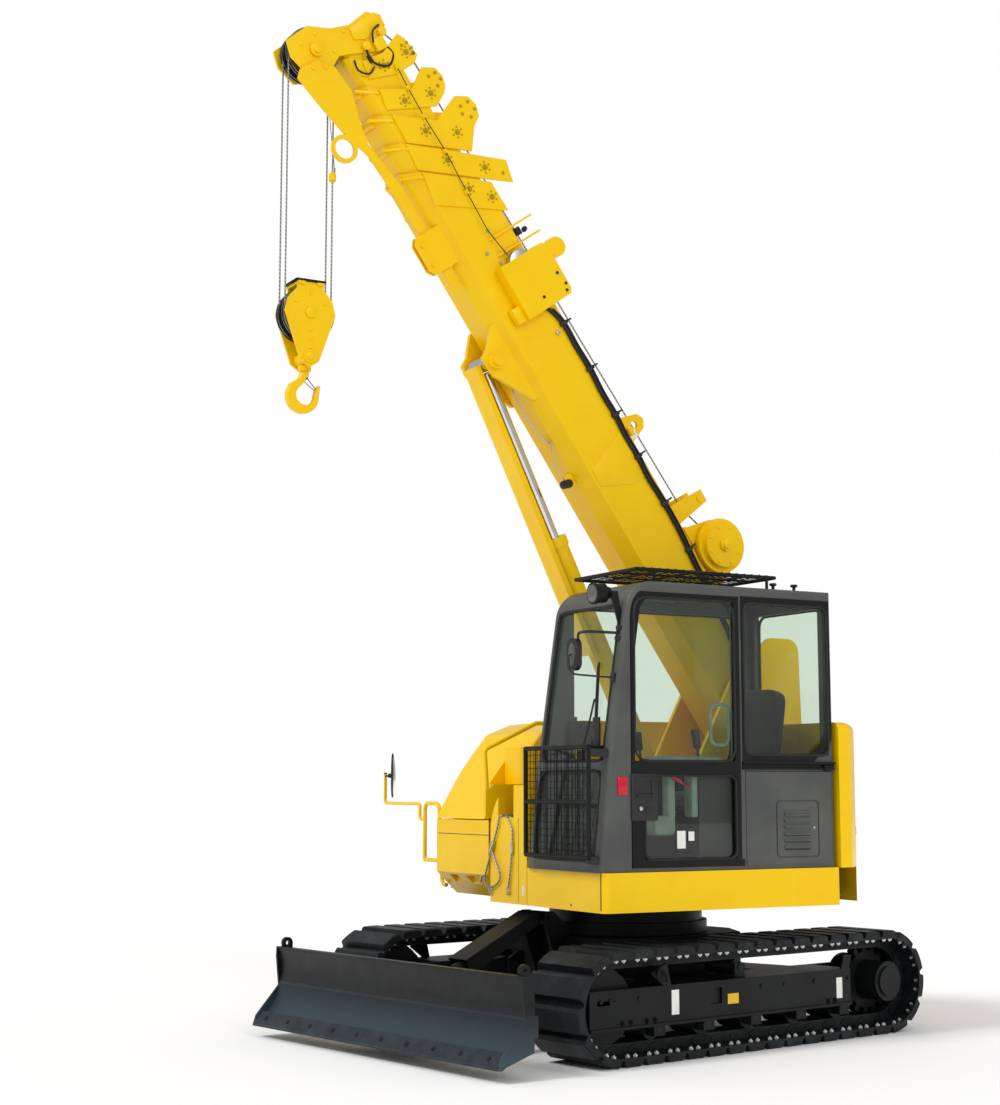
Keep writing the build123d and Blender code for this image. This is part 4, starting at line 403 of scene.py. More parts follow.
def tube(points, radius, sides=10):
    """A ring pushed from point to point; its UV map holds metres along and round it."""
    points = [Vector(point) for point in points]
    last = len(points) - 1
    ways = [(points[min(i + 1, last)] - points[max(i - 1, 0)]).normalized() for i in range(last + 1)]
    along = bm.loops.layers.uv.get("along") or bm.loops.layers.uv.new("along")
    ring = bmesh.ops.create_circle(
        bm, cap_ends=True, segments=sides, radius=radius, matrix=facing(points[0], ways[0]))["verts"]
    number = {vert: i for i, vert in enumerate(ring)}
    run = 0.0
    for i in range(1, last + 1):
        rim = [e for e in edges_of(number) if e.verts[0] in number and e.verts[1] in number]
        made = bmesh.ops.extrude_edge_only(bm, edges=rim)["geom"]
        fresh = {}
        for vert in kept(made, bmesh.types.BMVert):
            old = next(e.other_vert(vert) for e in vert.link_edges if e.other_vert(vert) in number)
            fresh[vert] = number[old]
        turn = ways[i - 1].rotation_difference(ways[i]).to_matrix()
        bmesh.ops.rotate(bm, verts=list(fresh), cent=points[i - 1], matrix=turn)
        bmesh.ops.translate(bm, verts=list(fresh), vec=points[i] - points[i - 1])
        step = (points[i] - points[i - 1]).length
        for face in kept(made, bmesh.types.BMFace):
            places = [fresh.get(vert, number.get(vert)) for vert in face.verts]
            wraps = 0 in places and sides - 1 in places
            for loop, spot in zip(face.loops, places):
                spot = sides if wraps and spot == 0 else spot
                loop[along].uv = (run + step * (loop.vert in fresh), spot * 2 * pi * radius / sides)
        number = fresh
        run += step
    bm.faces.new(sorted(number, key=number.get))


def at_x(x, *points):
    """Points in a plane across the machine, given by their other two coordinates."""
    return [(x, a, b) for a, b in points]


def at_y(y, *points):
    """The same in a plane along it."""
    return [(a, y, b) for a, b in points]


def turns(count):
    """Angles that go once round in even steps, both ends included."""
    return [2 * pi * i / count for i in range(count + 1)]


def arc(centre, radius, first, final, steps=12):
    """Points on an arc in the plane across the machine; degrees count from the front upwards."""
    angles = [radians(first + (final - first) * i / steps) for i in range(steps + 1)]
    return [Vector(centre) + Vector((0, -radius * cos(a), radius * sin(a))) for a in angles]


def nut(place, across=0.024, height=0.012, stub=0.006):
    """A hexagon nut with a thread end, standing on its place along Z."""
    for sides, foot, top, low, high in ((6, 0.577, 0.55, 0, height), (8, 0.3, 0.27, height, height + stub)):
        bmesh.ops.create_cone(
            bm, cap_ends=True, segments=sides, radius1=across * foot, radius2=across * top,
            depth=high - low, matrix=place @ Matrix.Translation((0, 0, (low + high) / 2)))


def smooth_path(points, step=0.02):
    """Even points on the smooth line through a few given ones."""
    line = []
    points = [Vector(point) for point in points]
    ghosts = [2 * points[0] - points[1], *points, 2 * points[-1] - points[-2]]
    for a, b, c, d in zip(ghosts, ghosts[1:], ghosts[2:], ghosts[3:]):
        count = max(2, round((c - b).length / step))
        for i in range(count):
            t = i / count
            line.append(0.5 * (2 * b + (c - a) * t + (2 * a - 5 * b + 4 * c - d) * t ** 2
                               + (3 * b - a - 3 * c + d) * t ** 3))
    return line + [points[-1]]


def hose(points, step, radius, sides=8):
    """A tube on the smooth line through a few points."""
    tube(smooth_path(points, step), radius, sides)


print("mesh helpers ready")

# %% [markdown]
# A steel shoe carries a bolted pad near each end. Its nuts stand on the shoe's inner face,
# two at each end, so they are a bright dotted line all round both loops, the most telling
# small detail of the running gear. One nut is a six sided cone, and a loop along the belt's
# own pitch line puts it on all 39 shoes.

# %% Shoe nuts
SHOE_COUNT = 39
WHEELBASE = 2.235
WHEEL_Z = 0.305
BELT_RADIUS = 0.267
TRACK_X = 0.935
PAD_NUT_X = 0.198
PAD_NUT_STEP = 0.028
SIDES = ((1, "left"), (-1, "right"))


def belt_place(run, x):
    """A place on the belt's pitch line, whose Z points out of the loop."""
    lap = WHEELBASE + pi * BELT_RADIUS
    half, run = divmod(run % (2 * lap), lap)
    along = min(run, WHEELBASE) - WHEELBASE / 2
    turn = max(run - WHEELBASE, 0) / BELT_RADIUS + half * pi
    wheel = Matrix.Translation((x, -along if half else along, WHEEL_Z))
    return wheel @ Matrix.Rotation(pi + turn, 4, "X") @ Matrix.Translation((0, 0, BELT_RADIUS))


INWARDS = Matrix.Translation((0, 0, -0.012)) @ Matrix.Rotation(pi, 4, "X")
shoe_pitch = 2 * (WHEELBASE + pi * BELT_RADIUS) / SHOE_COUNT
for side, word in SIDES:
    for shoe in range(SHOE_COUNT):
        for end in (-PAD_NUT_X, PAD_NUT_X):
            for share in (-PAD_NUT_STEP, PAD_NUT_STEP):
                run = WHEELBASE / 2 + (shoe + 0.5) * shoe_pitch + share
                nut(belt_place(run, side * TRACK_X + end) @ INWARDS)
    piece("shoe_nuts_" + word, ZINC, "undercarriage")

# %% [markdown]
# The link rails are one plain ring each in the CAD model. On the real belt they are pairs of
# forged links that overlap at a pin, so a shaped link plate with a pin head goes on both
# sides of each rail, a little thicker at its eyes than at its waist.

# %% Track links
RAIL_X = (0.075, -0.075)
LINK_OUTLINE = [
    (-0.074, -0.052), (-0.045, -0.061), (0.045, -0.061), (0.074, -0.052),
    (0.079, -0.032), (0.05, -0.014), (-0.05, -0.014), (-0.079, -0.032),
]
for side, word in SIDES:
    for shoe in range(SHOE_COUNT):
        centre = WHEELBASE / 2 + (shoe + 0.5) * shoe_pitch
        for rail in RAIL_X:
            for face in (-1, 1):
                x = side * TRACK_X + rail
                place = belt_place(centre + face * 0.002, x + face * 0.0212)
                verts = plate([(0, y, z) for y, z in LINK_OUTLINE], (face * 0.006, 0, 0))
                bmesh.ops.transform(bm, matrix=place, verts=verts)
        pin = belt_place(centre + shoe_pitch / 2, side * TRACK_X)
        rod(pin @ Vector((-0.106, 0, -0.038)), pin @ Vector((0.106, 0, -0.038)), 0.014, 8)
    piece("track_links_" + word, LINK, "undercarriage")

# %% [markdown]
# The side frames carry blank labels, a pair of bolt holes, a tow ring and a grease fitting.
# Labels are thin films with rounded corners, so a plate with a small bevel is enough.

# %% Side frame fittings
FRAME_FACE = 1.1003
for y0, y1, z0, z1 in ((-0.689, -0.632, 0.24, 0.372), (0.672, 0.724, 0.232, 0.352)):
    block((FRAME_FACE, y0, z0), (FRAME_FACE + 0.0012, y1, z1), 0.0005, 1)
piece("frame_labels_white", LABEL, "undercarriage")
block((FRAME_FACE, -0.25, 0.266), (FRAME_FACE + 0.0012, -0.162, 0.322), 0.0005, 1)
piece("frame_label_yellow", LABEL_YELLOW, "undercarriage")

for y in (-1.21, -1.14, -0.93, 0.03, 0.22, 0.48, 0.78):
    stud((FRAME_FACE, y, 0.345), 0.006 * X, 0.013, 12, 0.002)
for y in (-1.05, -0.99, -0.87, -0.81, 0.6, 0.66):
    nut(facing((FRAME_FACE, y, 0.222), X), 0.026)
for y, z, radius, lift, stand, count, wire in (
        (-0.776, 0.452, 0.034, 0.004, 0.012, 20, 0.0065),
        (0.766, 0.462, 0.022, -0.008, 0, 16, 0.006)):
    x = FRAME_FACE + lift + stand
    tube([(x - stand * cos(a), y + radius * sin(a), z + radius * cos(a)) for a in turns(count)], wire, 8)
piece("frame_bolts_and_rings", BLACK, "undercarriage")

# %% [markdown]
# The hoist rope has four falls between head and block. They hang plumb from the head pin to
# the block as one fixed mesh that rides on no body. Ropes are tubes whose UV map carries the
# twist of the strands.

# %% Rope falls and sheave wraps
SHEAVE_X = 0.042
ROPE_PITCH = 0.145
ROPE_RADIUS = 0.0052

for x in (-SHEAVE_X, SHEAVE_X):
    for y in (-ROPE_PITCH, ROPE_PITCH):
        tube([(x, y, 0), (x, y, -BLOCK_DROP)], ROPE_RADIUS, 8)
falls = piece("rope_falls", ROPE, None, place=LINE)
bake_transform(falls)
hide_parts("hoist_ropes")

for name, body, drop, final in (("rope_over_head", "hoist_line", 0, 180),
        ("rope_under_block", "hook_block", BLOCK_DROP, -180)):
    for x in (-SHEAVE_X, SHEAVE_X):
        tube(arc((x, 0, -drop), ROPE_PITCH, 0, final), ROPE_RADIUS, 8)
    piece(name, ROPE, body)
print("falls hang", BLOCK_DROP, "m below the head pin")

# %% [markdown]
# Between winch and head the rope runs over the boom's back, through a guide behind the
# lifting lug. When the boom telescopes the real rope gets longer; here each stretch between
# two section mouths is a straight, fixed mesh of its own.

# %% Rope along the boom
ROPE_ROUTE = [  # along the boom, above it, and the body that carries this point
    (1.192, 0.39, "boom"),
    (3.85, 0.3178, "section_2"),
    (4.05, 0.3123, "section_3"),
    (4.25, 0.3068, "section_4"),
    (4.5, 0.3, "section_5"),
    (4.796, 0.1675, "tip"),
]


def stretch(name, finish, radius, near_point, far_point):
    """A straight run between two points, as a fixed mesh that rides on no body."""
    tube([near_point, far_point], radius, 8)
    run = piece(name, finish, None)
    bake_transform(run)


for (s0, v0, near), (s1, v1, far) in zip(ROPE_ROUTE, ROPE_ROUTE[1:]):
    stretch("rope_to_" + far, ROPE, ROPE_RADIUS, (0, s0, v0), (0, s1, v1))
tube([(0, 0.905, 0.486), (0, 1.0, 0.455), (0, 1.192, 0.39)], ROPE_RADIUS, 8)
piece("rope_from_drum", ROPE, "boom")
hose([(0, 4.796, 0.1675), (0, 4.81, 0.1), (-0.012, 4.805, -0.03), (-0.036, 4.898, -0.265),
    (-0.042, 4.916, -0.312)], 0.03, ROPE_RADIUS)
piece("rope_into_head", ROPE, "tip")

COILS = 22
COIL_RADIUS = 0.1085
WINCH_S, WINCH_V = 0.891, 0.369  # the winch's axis
for i in range(COILS):
    x = -0.128 + 0.256 * i / (COILS - 1)
    coil = [(x + 0.0055 * a / (2 * pi), WINCH_S + COIL_RADIUS * sin(a), WINCH_V + COIL_RADIUS * cos(a))
        for a in turns(28)]
    tube(coil, ROPE_RADIUS, 6)
piece("rope_on_drum", ROPE, "winch_drum")

stud((-0.069, 1.192, 0.425), 0.138 * X, 0.029, 20, 0.003)
stud((-0.07, 1.192, 0.36), 0.14 * X, 0.018, 20, 0.003)
piece("rope_guide_rollers", STEEL, "boom")
stud((-0.126, 4.5, 0.245), 0.252 * X, 0.013, 16, 0.002)
stud((-0.03, 4.5, 0.245), 0.06 * X, 0.0495, 24, 0.004)
piece("rope_top_roller", STEEL, "section_5")
print("rope runs over", len(ROPE_ROUTE) - 1, "blended stretches")

# %% [markdown]
# A black control hose is clipped to the boom's left face, between the cover box and the
# foot. It dips a little between its clips, so a smooth line through a few points is swept,
# and each clip is a small bent strap with a bolt.

# %% Hose and clips on the boom
HOSE_X = 0.203
HOSE_POINTS = at_x(
    HOSE_X, (2.744, 0.135), (2.634, 0.165), (2.47, 0.164), (2.308, 0.17), (2.134, 0.16),
    (1.979, 0.164), (1.837, 0.155), (1.679, 0.158), (1.527, 0.148), (1.335, 0.158), (1.118, 0.154),
    (0.888, 0.132), (0.64, 0.12), (0.3, 0.075),
) + [(0.197, 0.13, 0.02)]
hose([(0.213, 2.8, 0.1), *HOSE_POINTS], 0.03, 0.012, 10)
hose([(x + 0.002, s, v + 0.021) for x, s, v in HOSE_POINTS], 0.03, 0.007)
rod((0.213, 2.86, 0.09), (0.213, 2.79, 0.104), 0.02, 14, 0.004)
piece("boom_hose", RUBBER, "boom")
for s, v in ((2.634, 0.165), (2.308, 0.17), (1.979, 0.164), (1.679, 0.158), (1.335, 0.158), (1.0, 0.144)):
    block((0.1895, s - 0.012, v - 0.018), (HOSE_X + 0.0145, s + 0.012, v + 0.034), 0.003)
    stud((0.199, s, v + 0.03), 0.045 * Z, 0.006, 8, 0.001)
piece("hose_clips", PLASTIC, "boom")
stud((0.19, 2.602, 0.105), 0.015 * X, 0.014, 12, 0.002)
for s, v in ((3.355, 0.034), (3.15, 0.001), (3.24, -0.054)):
    nut(facing((0.1905, s, v), X), 0.022, 0.01, 0.004)
piece("boom_bright_bolts", ZINC, "boom")

# %% [markdown]
# Pressed plates, guide fins and small brackets break up the boom's long faces. Each is an
# outline in boom directions that is pushed out by a plate's thickness.

# %% Boom plates and brackets
BOOM_SIDE = 0.1895
plate(at_x(BOOM_SIDE, (1.875, 0.147), (1.777, -0.172), (1.661, -0.178), (1.548, 0.043), (1.546, 0.147)),
    0.005 * X, 0.002)
plate(at_x(BOOM_SIDE, (2.43, -0.19), (2.56, -0.19), (2.5, -0.11), (2.46, -0.11)), 0.004 * X, 0.0015)
FIN = ((0.168, 0.2145), (BOOM_SIDE, 0.2), (BOOM_SIDE, -0.01), (0.218, 0.02))  # what both fins share
for s in (3.3, 3.19):
    plate(at_y(s, *FIN, (0.214, 0.3), (0.196, 0.368), (0.168, 0.368)), 0.012 * Y, 0.002)
    plate(at_y(s, *((-x, v) for x, v in (*FIN, (0.214, 0.24), (0.168, 0.24)))), 0.012 * Y, 0.002)
block((BOOM_SIDE, 2.772, -0.136), (0.243, 2.876, -0.04), 0.006)
block((0.06, 1.735, -0.32), (0.095, 1.826, -0.255), 0.004)
block((0.145, 1.8, 0.2145), (0.185, 1.86, 0.245), 0.004)
piece("boom_plates", YELLOW, "boom")

block((0.1, 3.235, 0.2145), (0.19, 3.285, 0.25), 0.005)
rod((0.2, 3.25, 0.262), (0.13, 3.25, 0.318), 0.017, 14, 0.004)
stud((0.06, 1.78, -0.33), 0.08 * X, 0.027, 18, 0.004)
for s, v in ((2.922, 0.272), (2.84, 0.1), (2.8, 0.272), (2.84, 0.29)):
    stud((0.2685, s, v), 0.0055 * X, 0.01, 12, 0.0015)
block((0.2, 2.772, -0.105), (0.236, 2.79, -0.07), 0.004)
piece("boom_black_fittings", RUBBER, "boom")

block((-0.012, 1.748, 0.31), (0.0135, 1.8, 0.372), 0.002)
piece("lug_label", LABEL, "boom")
stud((0.2, 3.085, 0.1), 0.052 * X, 0.088, 40, 0.006)
stud((0.252, 3.085, 0.1), 0.006 * X, 0.03, 20, 0.002)
piece("length_reel", ZINC, "boom")

hose(at_x(0.05, (2.6, -0.262), (2.553, -0.275), (2.405, -0.3), (2.243, -0.307), (2.1, -0.285),
    (2.04, -0.262)), 0.03, 0.006)
hose(at_x(0.09, (2.06, -0.262), (1.95, -0.315), (1.8, -0.33)), 0.03, 0.0035, 6)
piece("underside_pipes", ZINC, "boom")

# %% [markdown]
# Each section's collar is bolted on through round rosettes, and the round lugs on top carry
# bolts round their rims, all in a darker yellow that is painted shade. The bolts ride on the
# section whose collar they hold, so they leave with it when the boom telescopes.

# %% Collar bolts
COLLAR_WALL = 0.012
SECTION_BODIES = ("boom", "section_2", "section_3", "section_4", "section_5")
MOUTH_S, SECTION_STEP, NEST = 3.744, 0.2, 0.02
ROSETTES = [  # a section's two centres, along the boom from its mouth and above its axis
    ((-0.115, 0.06), (-0.225, 0.175)),
    ((-0.1, 0.04), (-0.25, 0.25)),
    ((-0.085, 0.02), (-0.185, 0.215)),
    ((-0.07, 0.01), (-0.105, 0.2)),
    ((-0.03, 0.02), (-0.02, 0.205)),
]
LUG_BOLTS = [  # the lug's centre, in the same way, the bolts' circle and their number
    (0, 0, 0, 0), (-0.335, 0.345, 0, 1), (-0.097, 0.362, 0.05, 5), (-0.044, 0.275, 0.042, 4),
    (0, 0.222, 0.034, 3),
]
for n, body in enumerate(SECTION_BODIES):
    mouth = MOUTH_S + n * SECTION_STEP
    face = 0.19 - n * NEST + COLLAR_WALL
    for s, v in ROSETTES[n]:
        for side in (-1, 1):
            stud((side * (face - 0.001), mouth + s, v), side * 0.005 * X, 0.019, 20, 0.002)
            stud((side * (face + 0.003), mouth + s, v), side * 0.007 * X, 0.009, 6, 0.001)
            for k in range(6):
                a = k * pi / 3 + 0.4
                spot = (side * (face - 0.001), mouth + s + 0.033 * cos(a), v + 0.033 * sin(a))
                stud(spot, side * 0.005 * X, 0.0065, 6)
    s, v, reach, count = LUG_BOLTS[n]
    for k in range(count):
        a = radians(-40 + 75 * k)
        for side in (-1, 1):
            spot = (side * (face - 0.001), mouth + s + reach * cos(a), v + reach * sin(a))
            stud(spot, side * 0.007 * X, 0.01, 10, 0.0015)
    # The bolts take the darker yellow, painted shade.
    piece("collar_bolts_%d" % (n + 1), SHADED_YELLOW, body)

# %% [markdown]
# The boom head: a hexagon boss on the sheave pin, grease nipples, connectors with their
# black leads, and the weight that trips the hoist limit, which hangs round the rear fall.

# %% Boom head fittings
HEAD_FACE = 0.1086
stud((HEAD_FACE + 0.008, PIN_S, PIN_V), 0.012 * X, 0.04, 24, 0.004)
stud((HEAD_FACE + 0.019, PIN_S, PIN_V), 0.015 * X, 0.026, 6, 0.003)
for s, v in ((4.845, -0.4), (4.7, -0.41), (4.86, -0.28), (4.72, -0.22), (4.8, -0.1), (4.81, 0.05),
        (4.76, 0.12)):
    stud((HEAD_FACE - 0.001, s, v), 0.007 * X, 0.012, 10, 0.002)
plate(at_x(HEAD_FACE - 0.001, (4.8, -0.06), (4.82, 0.14), (4.8, 0.165), (4.72, 0.15), (4.7, 0),
    (4.73, -0.07)), 0.014 * X, 0.004)
rod((0.06, 4.7, 0.13), (HEAD_FACE + 0.02, 4.7, 0.13), 0.03, 20, 0.005)
stud((HEAD_FACE, 4.66, -0.02), 0.03 * X, 0.028, 20, 0.005)
block((HEAD_FACE - 0.004, 4.6, 0.03), (HEAD_FACE + 0.026, 4.68, 0.11), 0.006)
block((-0.11, 4.72, 0.16), (0.09, 4.77, 0.195), 0.006)
piece("head_bosses", YELLOW, "tip")

hose([(0.125, 4.67, -0.02), (0.135, 4.6, -0.05), (0.138, 4.54, -0.03), (0.128, 4.5, 0.05),
    (0.118, 4.55, 0.12), (0.12, 4.62, 0.1)], 0.02, 0.007)
hose([(0.118, 4.62, -0.14), (0.13, 4.56, -0.16), (0.135, 4.51, -0.11), (0.128, 4.53, -0.05)], 0.02, 0.006)
hose([(0.126, 4.74, 0.13), (0.138, 4.72, 0.06), (0.13, 4.66, 0.03)], 0.02, 0.006)
rod((0.13, 4.61, -0.05), (0.13, 4.56, -0.045), 0.013, 12, 0.003)
piece("head_leads", RUBBER, "tip")

weight = Vector((SHEAVE_X, ROPE_PITCH, -0.755))
stud(weight, 0.038 * Z, 0.022, 24, 0.004)
stud(weight + 0.038 * Z, 0.018 * Z, 0.022, 24, tip=0.01)
stud(weight - 0.01 * Z, 0.01 * Z, 0.012, 16, 0.002)
piece("limit_weight", YELLOW, "hoist_line")
rod((SHEAVE_X + 0.018, ROPE_PITCH + 0.006, -0.7), (0.1, ROPE_PITCH - 0.1, 0.06), 0.0022, 6)
stud((SHEAVE_X + 0.018, ROPE_PITCH + 0.006, -0.705), 0.025 * Z, 0.0045, 10, 0.001)
stud((0.1, ROPE_PITCH - 0.1, 0.045), 0.03 * Z, 0.0045, 10, 0.001)
piece("limit_cord", STEEL, "hoist_line")

# %% [markdown]
# The hook block: a dark guard between the cheeks on top, bolt heads down the cheek, a boss
# at the trunnion, and the spring latch that closes the hook's mouth.

# %% Hook block and latch
block((-0.09, -0.094, -BLOCK_DROP + 0.182), (0.09, 0.094, -BLOCK_DROP + 0.198), 0.004)
block((-0.03, -0.05, -BLOCK_DROP + 0.165), (0.03, 0.05, -BLOCK_DROP + 0.182), 0.003)
piece("block_guard", BLACK, "hook_block")
CHEEK_BOLTS = [  # across and above the pin, length, radius and sides
    (0, 0, 0.015, 0.03, 24), (0, -0.1, 0.007, 0.011, 6), (0.004, -0.155, 0.007, 0.009, 6),
    (0, -0.205, 0.007, 0.009, 6), (0.09, 0.062, 0.007, 0.011, 6), (-0.09, 0.062, 0.007, 0.011, 6),
    (0, 0.118, 0.007, 0.01, 6),
]
for side in (-1, 1):
    for y, z, length, radius, sides in CHEEK_BOLTS:
        stud((side * 0.079, y, z - BLOCK_DROP), side * length * X, radius, sides, 0.0015)
    stud((side * 0.088, 0, -BLOCK_DROP - 0.258), side * 0.008 * X, 0.024, 24, 0.003)
piece("block_bolts", YELLOW, "hook_block")
HOOK_Z = -BLOCK_DROP - 0.475
LATCH = ((0.027, 0.006, 0.098), (0.025, 0.028, 0.075), (0.014, 0.062, 0.045), (0.006, 0.074, 0.034))
for side in (-1, 1):
    hose([(side * x, y, HOOK_Z + z) for x, y, z in LATCH], 0.012, 0.0034, 6)
stud((-0.03, 0.006, HOOK_Z + 0.098), 0.06 * X, 0.006, 10, 0.001)
piece("hook_latch", STEEL, "hook")

# %% [markdown]
# The cab's openings are edged with black rubber. A seal is a tube that follows a rectangle
# with rounded corners, so one helper walks round the corners and closes the tube.

# %% Window seals
def rounded(corners, radius, steps=5):
    """Points round a closed outline with its corners rounded."""
    line = []
    corners = [Vector(corner) for corner in corners]
    for before, corner, after in zip(corners[-1:] + corners[:-1], corners, corners[1:] + corners[:1]):
        start_point = corner + (before - corner).normalized() * radius
        end_point = corner + (after - corner).normalized() * radius
        for i in range(steps + 1):
            t = i / steps
            line.append(start_point.lerp(corner, t).lerp(corner.lerp(end_point, t), t))
    return line


def seal(corners, radius, thickness, sides=8):
    """A tube round a closed outline with rounded corners."""
    line = rounded(corners, radius)
    tube(line + line[:1], thickness, sides)


CAB_FACE = 1.074
SEAM_Z = 1.575


def front_y(z):
    """The cab's front face at height z, in metres."""
    if z < SEAM_Z:
        return -0.865 + 0.06 * (z - 1.0023) / (SEAM_Z - 1.0023)
    return -0.805 + 0.155 * (z - SEAM_Z) / (2.632 - SEAM_Z)


def side_rect(x, y0, y1, z0, z1):
    return at_x(x, (y0, z0), (y1, z0), (y1, z1), (y0, z1))


seal(side_rect(CAB_FACE, -0.625, 0.065, 1.617, 2.536), 0.09, 0.007)
seal(side_rect(CAB_FACE, -0.56, 0.065, 1.069, 1.535), 0.05, 0.007)
seal(side_rect(CAB_FACE - 0.004, 0.135, 0.75, 1.657, 2.536), 0.06, 0.008)
for z0, z1, radius, thickness in ((1.617, 2.494, 0.06, 0.011), (1.064, 1.563, 0.09, 0.009)):
    pane = ((0.342, z0), (1.008, z0), (1.008, z1), (0.342, z1))
    seal([(x, front_y(z) + 0.004, z) for x, z in pane], radius, thickness)
seal(at_y(0.789, (0.366, 1.618), (0.989, 1.618), (0.989, 2.535), (0.366, 2.535)), 0.08, 0.009)
seal(side_rect(0.286, -0.559, 0.699, 1.618, 2.535), 0.08, 0.009)
piece("window_seals", RUBBER, "upper")

# %% [markdown]
# The door's hardware: a black recessed handle with a key lock, a red reflector beside it, the
# rail that the door slides along, the lock and slats of the rear panel and three blank labels.

# %% Door hardware
FLANK = UPPER @ Matrix.Translation(CAB_FACE * X)  # so x is counted from the cab's face
block((-0.002, -0.655, 1.285), (0.006, -0.478, 1.545), 0.003)
block((0.004, -0.635, 1.4), (0.009, -0.5, 1.53), 0.003)
block((0.002, -0.628, 1.408), (0.013, -0.61, 1.522), 0.004)
block((0.002, -0.525, 1.408), (0.013, -0.507, 1.522), 0.004)
stud((0.014, -0.62, 1.425), 0.105 * Y, 0.009, 14, 0.003)
stud((0.005, -0.545, 1.345), 0.005 * X, 0.02, 20, 0.002)
piece("door_handle", PLASTIC, "upper", place=FLANK)
stud((0.009, -0.595, 1.352), 0.0045 * X, 0.012, 20, 0.002)
stud((-0.003, 0.625, 1.236), 0.007 * X, 0.008, 14, 0.002)
piece("cab_locks", ZINC, "upper", place=FLANK)
block((-0.005, -0.742, 1.424), (0.0035, -0.678, 1.527), 0.004)
piece("door_reflector", RED, "upper", place=FLANK)

block((-0.004, 0.112, 1.604), (0.016, 0.785, 1.618), 0.003)
block((-0.004, 0.112, 1.572), (0.012, 0.785, 1.584), 0.003)
block((-0.004, 0.112, 1.58), (0.002, 0.785, 1.606), 0.001)
block((-0.004, 0.7, 1.566), (0.018, 0.77, 1.6), 0.005)
block((-0.006, 0.108, 1.022), (0, 0.122, 1.062), 0.002)
piece("door_rail", BLACK, "upper", place=FLANK)

HATCH_SLOTS = (1.114, 1.157, 1.195, 1.239, 1.279, 1.32)
# Black strips in the gaps between the slats are painted shade.
for z in HATCH_SLOTS:
    block((1.07, 0.41, z - 0.007), (1.0727, 0.595, z + 0.003), 0.0008, 1)
piece("hatch_slot_shade", RUBBER, "upper")
for z in HATCH_SLOTS:
    block((1.07, 0.404, z + 0.001), (1.0785, 0.601, z + 0.013), 0.004)
piece("hatch_slats", CAB_GREY, "upper")

block((-0.0045, 0.203, 1.057), (-0.0027, 0.29, 1.163), 0.0006, 1)
block((-0.0135, -0.34, 1.128), (-0.012, -0.282, 1.226), 0.0005, 1)
block((-0.0135, -0.262, 1.17), (-0.012, -0.222, 1.222), 0.0005, 1)
piece("cab_labels", LABEL, "upper", place=FLANK)

# %% [markdown]
# Welded wire mesh fills the guard in front of the lower screen and the one over the roof. A
# wire is a six sided bar, and a row and a column of them make the grid.

# %% Guard meshes
def wires(corner, across, way, count, radius):
    """Even wires that run along way, spaced over the width across."""
    for i in range(1, count):
        stud(Vector(corner) + across * (i / count), way, radius, 6)


wires((0.375, -0.915, 1.085), 0.69 * X, 0.607 * Z, 18, 0.0023)
wires((0.375, -0.9105, 1.085), 0.607 * Z, 0.69 * X, 16, 0.0023)
piece("front_guard_mesh", BLACK, "upper")
wires((0.345, -0.56, 2.7125), 0.665 * X, 0.98 * Y, 14, 0.0025)
wires((0.345, -0.56, 2.7165), 0.98 * Y, 0.665 * X, 18, 0.0025)
piece("roof_guard_mesh", BLACK, "upper")

# %% [markdown]
# Lamps, mirrors and the wiper. A mirror is a bright metal plate set into its dark shell, and
# the lamp gets a clear lens.

# %% Lamp, mirrors and wiper
rod((0.95, -0.819, 2.553), (0.95, -0.8255, 2.5525), 0.05, 32, 0.002)
piece("lamp_lens", LENS, "upper")
block((0.842, -0.8895, 2.135), (0.933, -0.887, 2.285), 0.001)
piece("left_mirror_glass", CHROME, "upper")
plate([(0.8875 + 0.034 * cos(a), -0.9205, 2.21 + 0.066 * sin(a)) for a in turns(24)[:-1]], -0.0025 * Y,
    0.001)
piece("mirror_recess", CAB_GREY, "upper")
hose([(0.8875, -0.9235, 2.21), (0.8875, -0.94, 2.2), (0.895, -0.944, 2.14), (0.91, -0.943, 2.11),
    (0.95, -0.93, 2.095), (1.01, -0.86, 2.085), (1.03, -0.755, 2.08), (1.032, -0.735, 2.08)], 0.012, 0.0055)
rod((1.031, -0.745, 2.055), (1.031, -0.739, 2.105), 0.014, 12, 0.003)
piece("mirror_stay", PLASTIC, "upper")

# %% [markdown]
# The right mirror is a thin shell with a convex glass, turned so that the driver sees the
# machine's flank in it. Its grid bulges in the middle and closes to a thin rim.

# %% Right mirror
MIRROR_TURN = UPPER @ Matrix.Translation((-1.6925, -0.78, 1.55)) @ Matrix.Rotation(radians(-33), 4, "Z")


def lens(half_width, half_height, y_rim, bulge, columns=10, rows=20):
    """An oval sheet that bulges along y from its rim at y_rim, and the points of its rim."""
    grid = []
    for j in range(rows + 1):
        v = -1 + 2 * j / rows
        reach = max((1 - abs(v) ** 3.5) ** 0.5, 0.04)
        line = []
        for i in range(columns + 1):
            u = -1 + 2 * i / columns
            depth = (1 - u * u) * (1 - v * v)
            line.append(bm.verts.new((half_width * u * reach, y_rim + bulge * depth, half_height * v)))
        grid.append(line)
    for low, high in zip(grid, grid[1:]):
        for i in range(columns):
            bm.faces.new((low[i], low[i + 1], high[i + 1], high[i]))
    left, right = [line[0] for line in grid], [line[-1] for line in grid]
    return left + grid[-1][1:] + right[-2::-1] + grid[0][-2:0:-1]


def dish(name, finish, width, height, front, rear):
    """A mirror part: a front and a rear sheet, joined round their rims."""
    rims = lens(width, height, *front), lens(width, height, *rear)
    for (a, d), (b, c) in zip(zip(*rims), zip(*(rim[1:] + rim[:1] for rim in rims))):
        bm.faces.new((a, b, c, d))
    return piece(name, finish, "upper", place=MIRROR_TURN, crease=50)


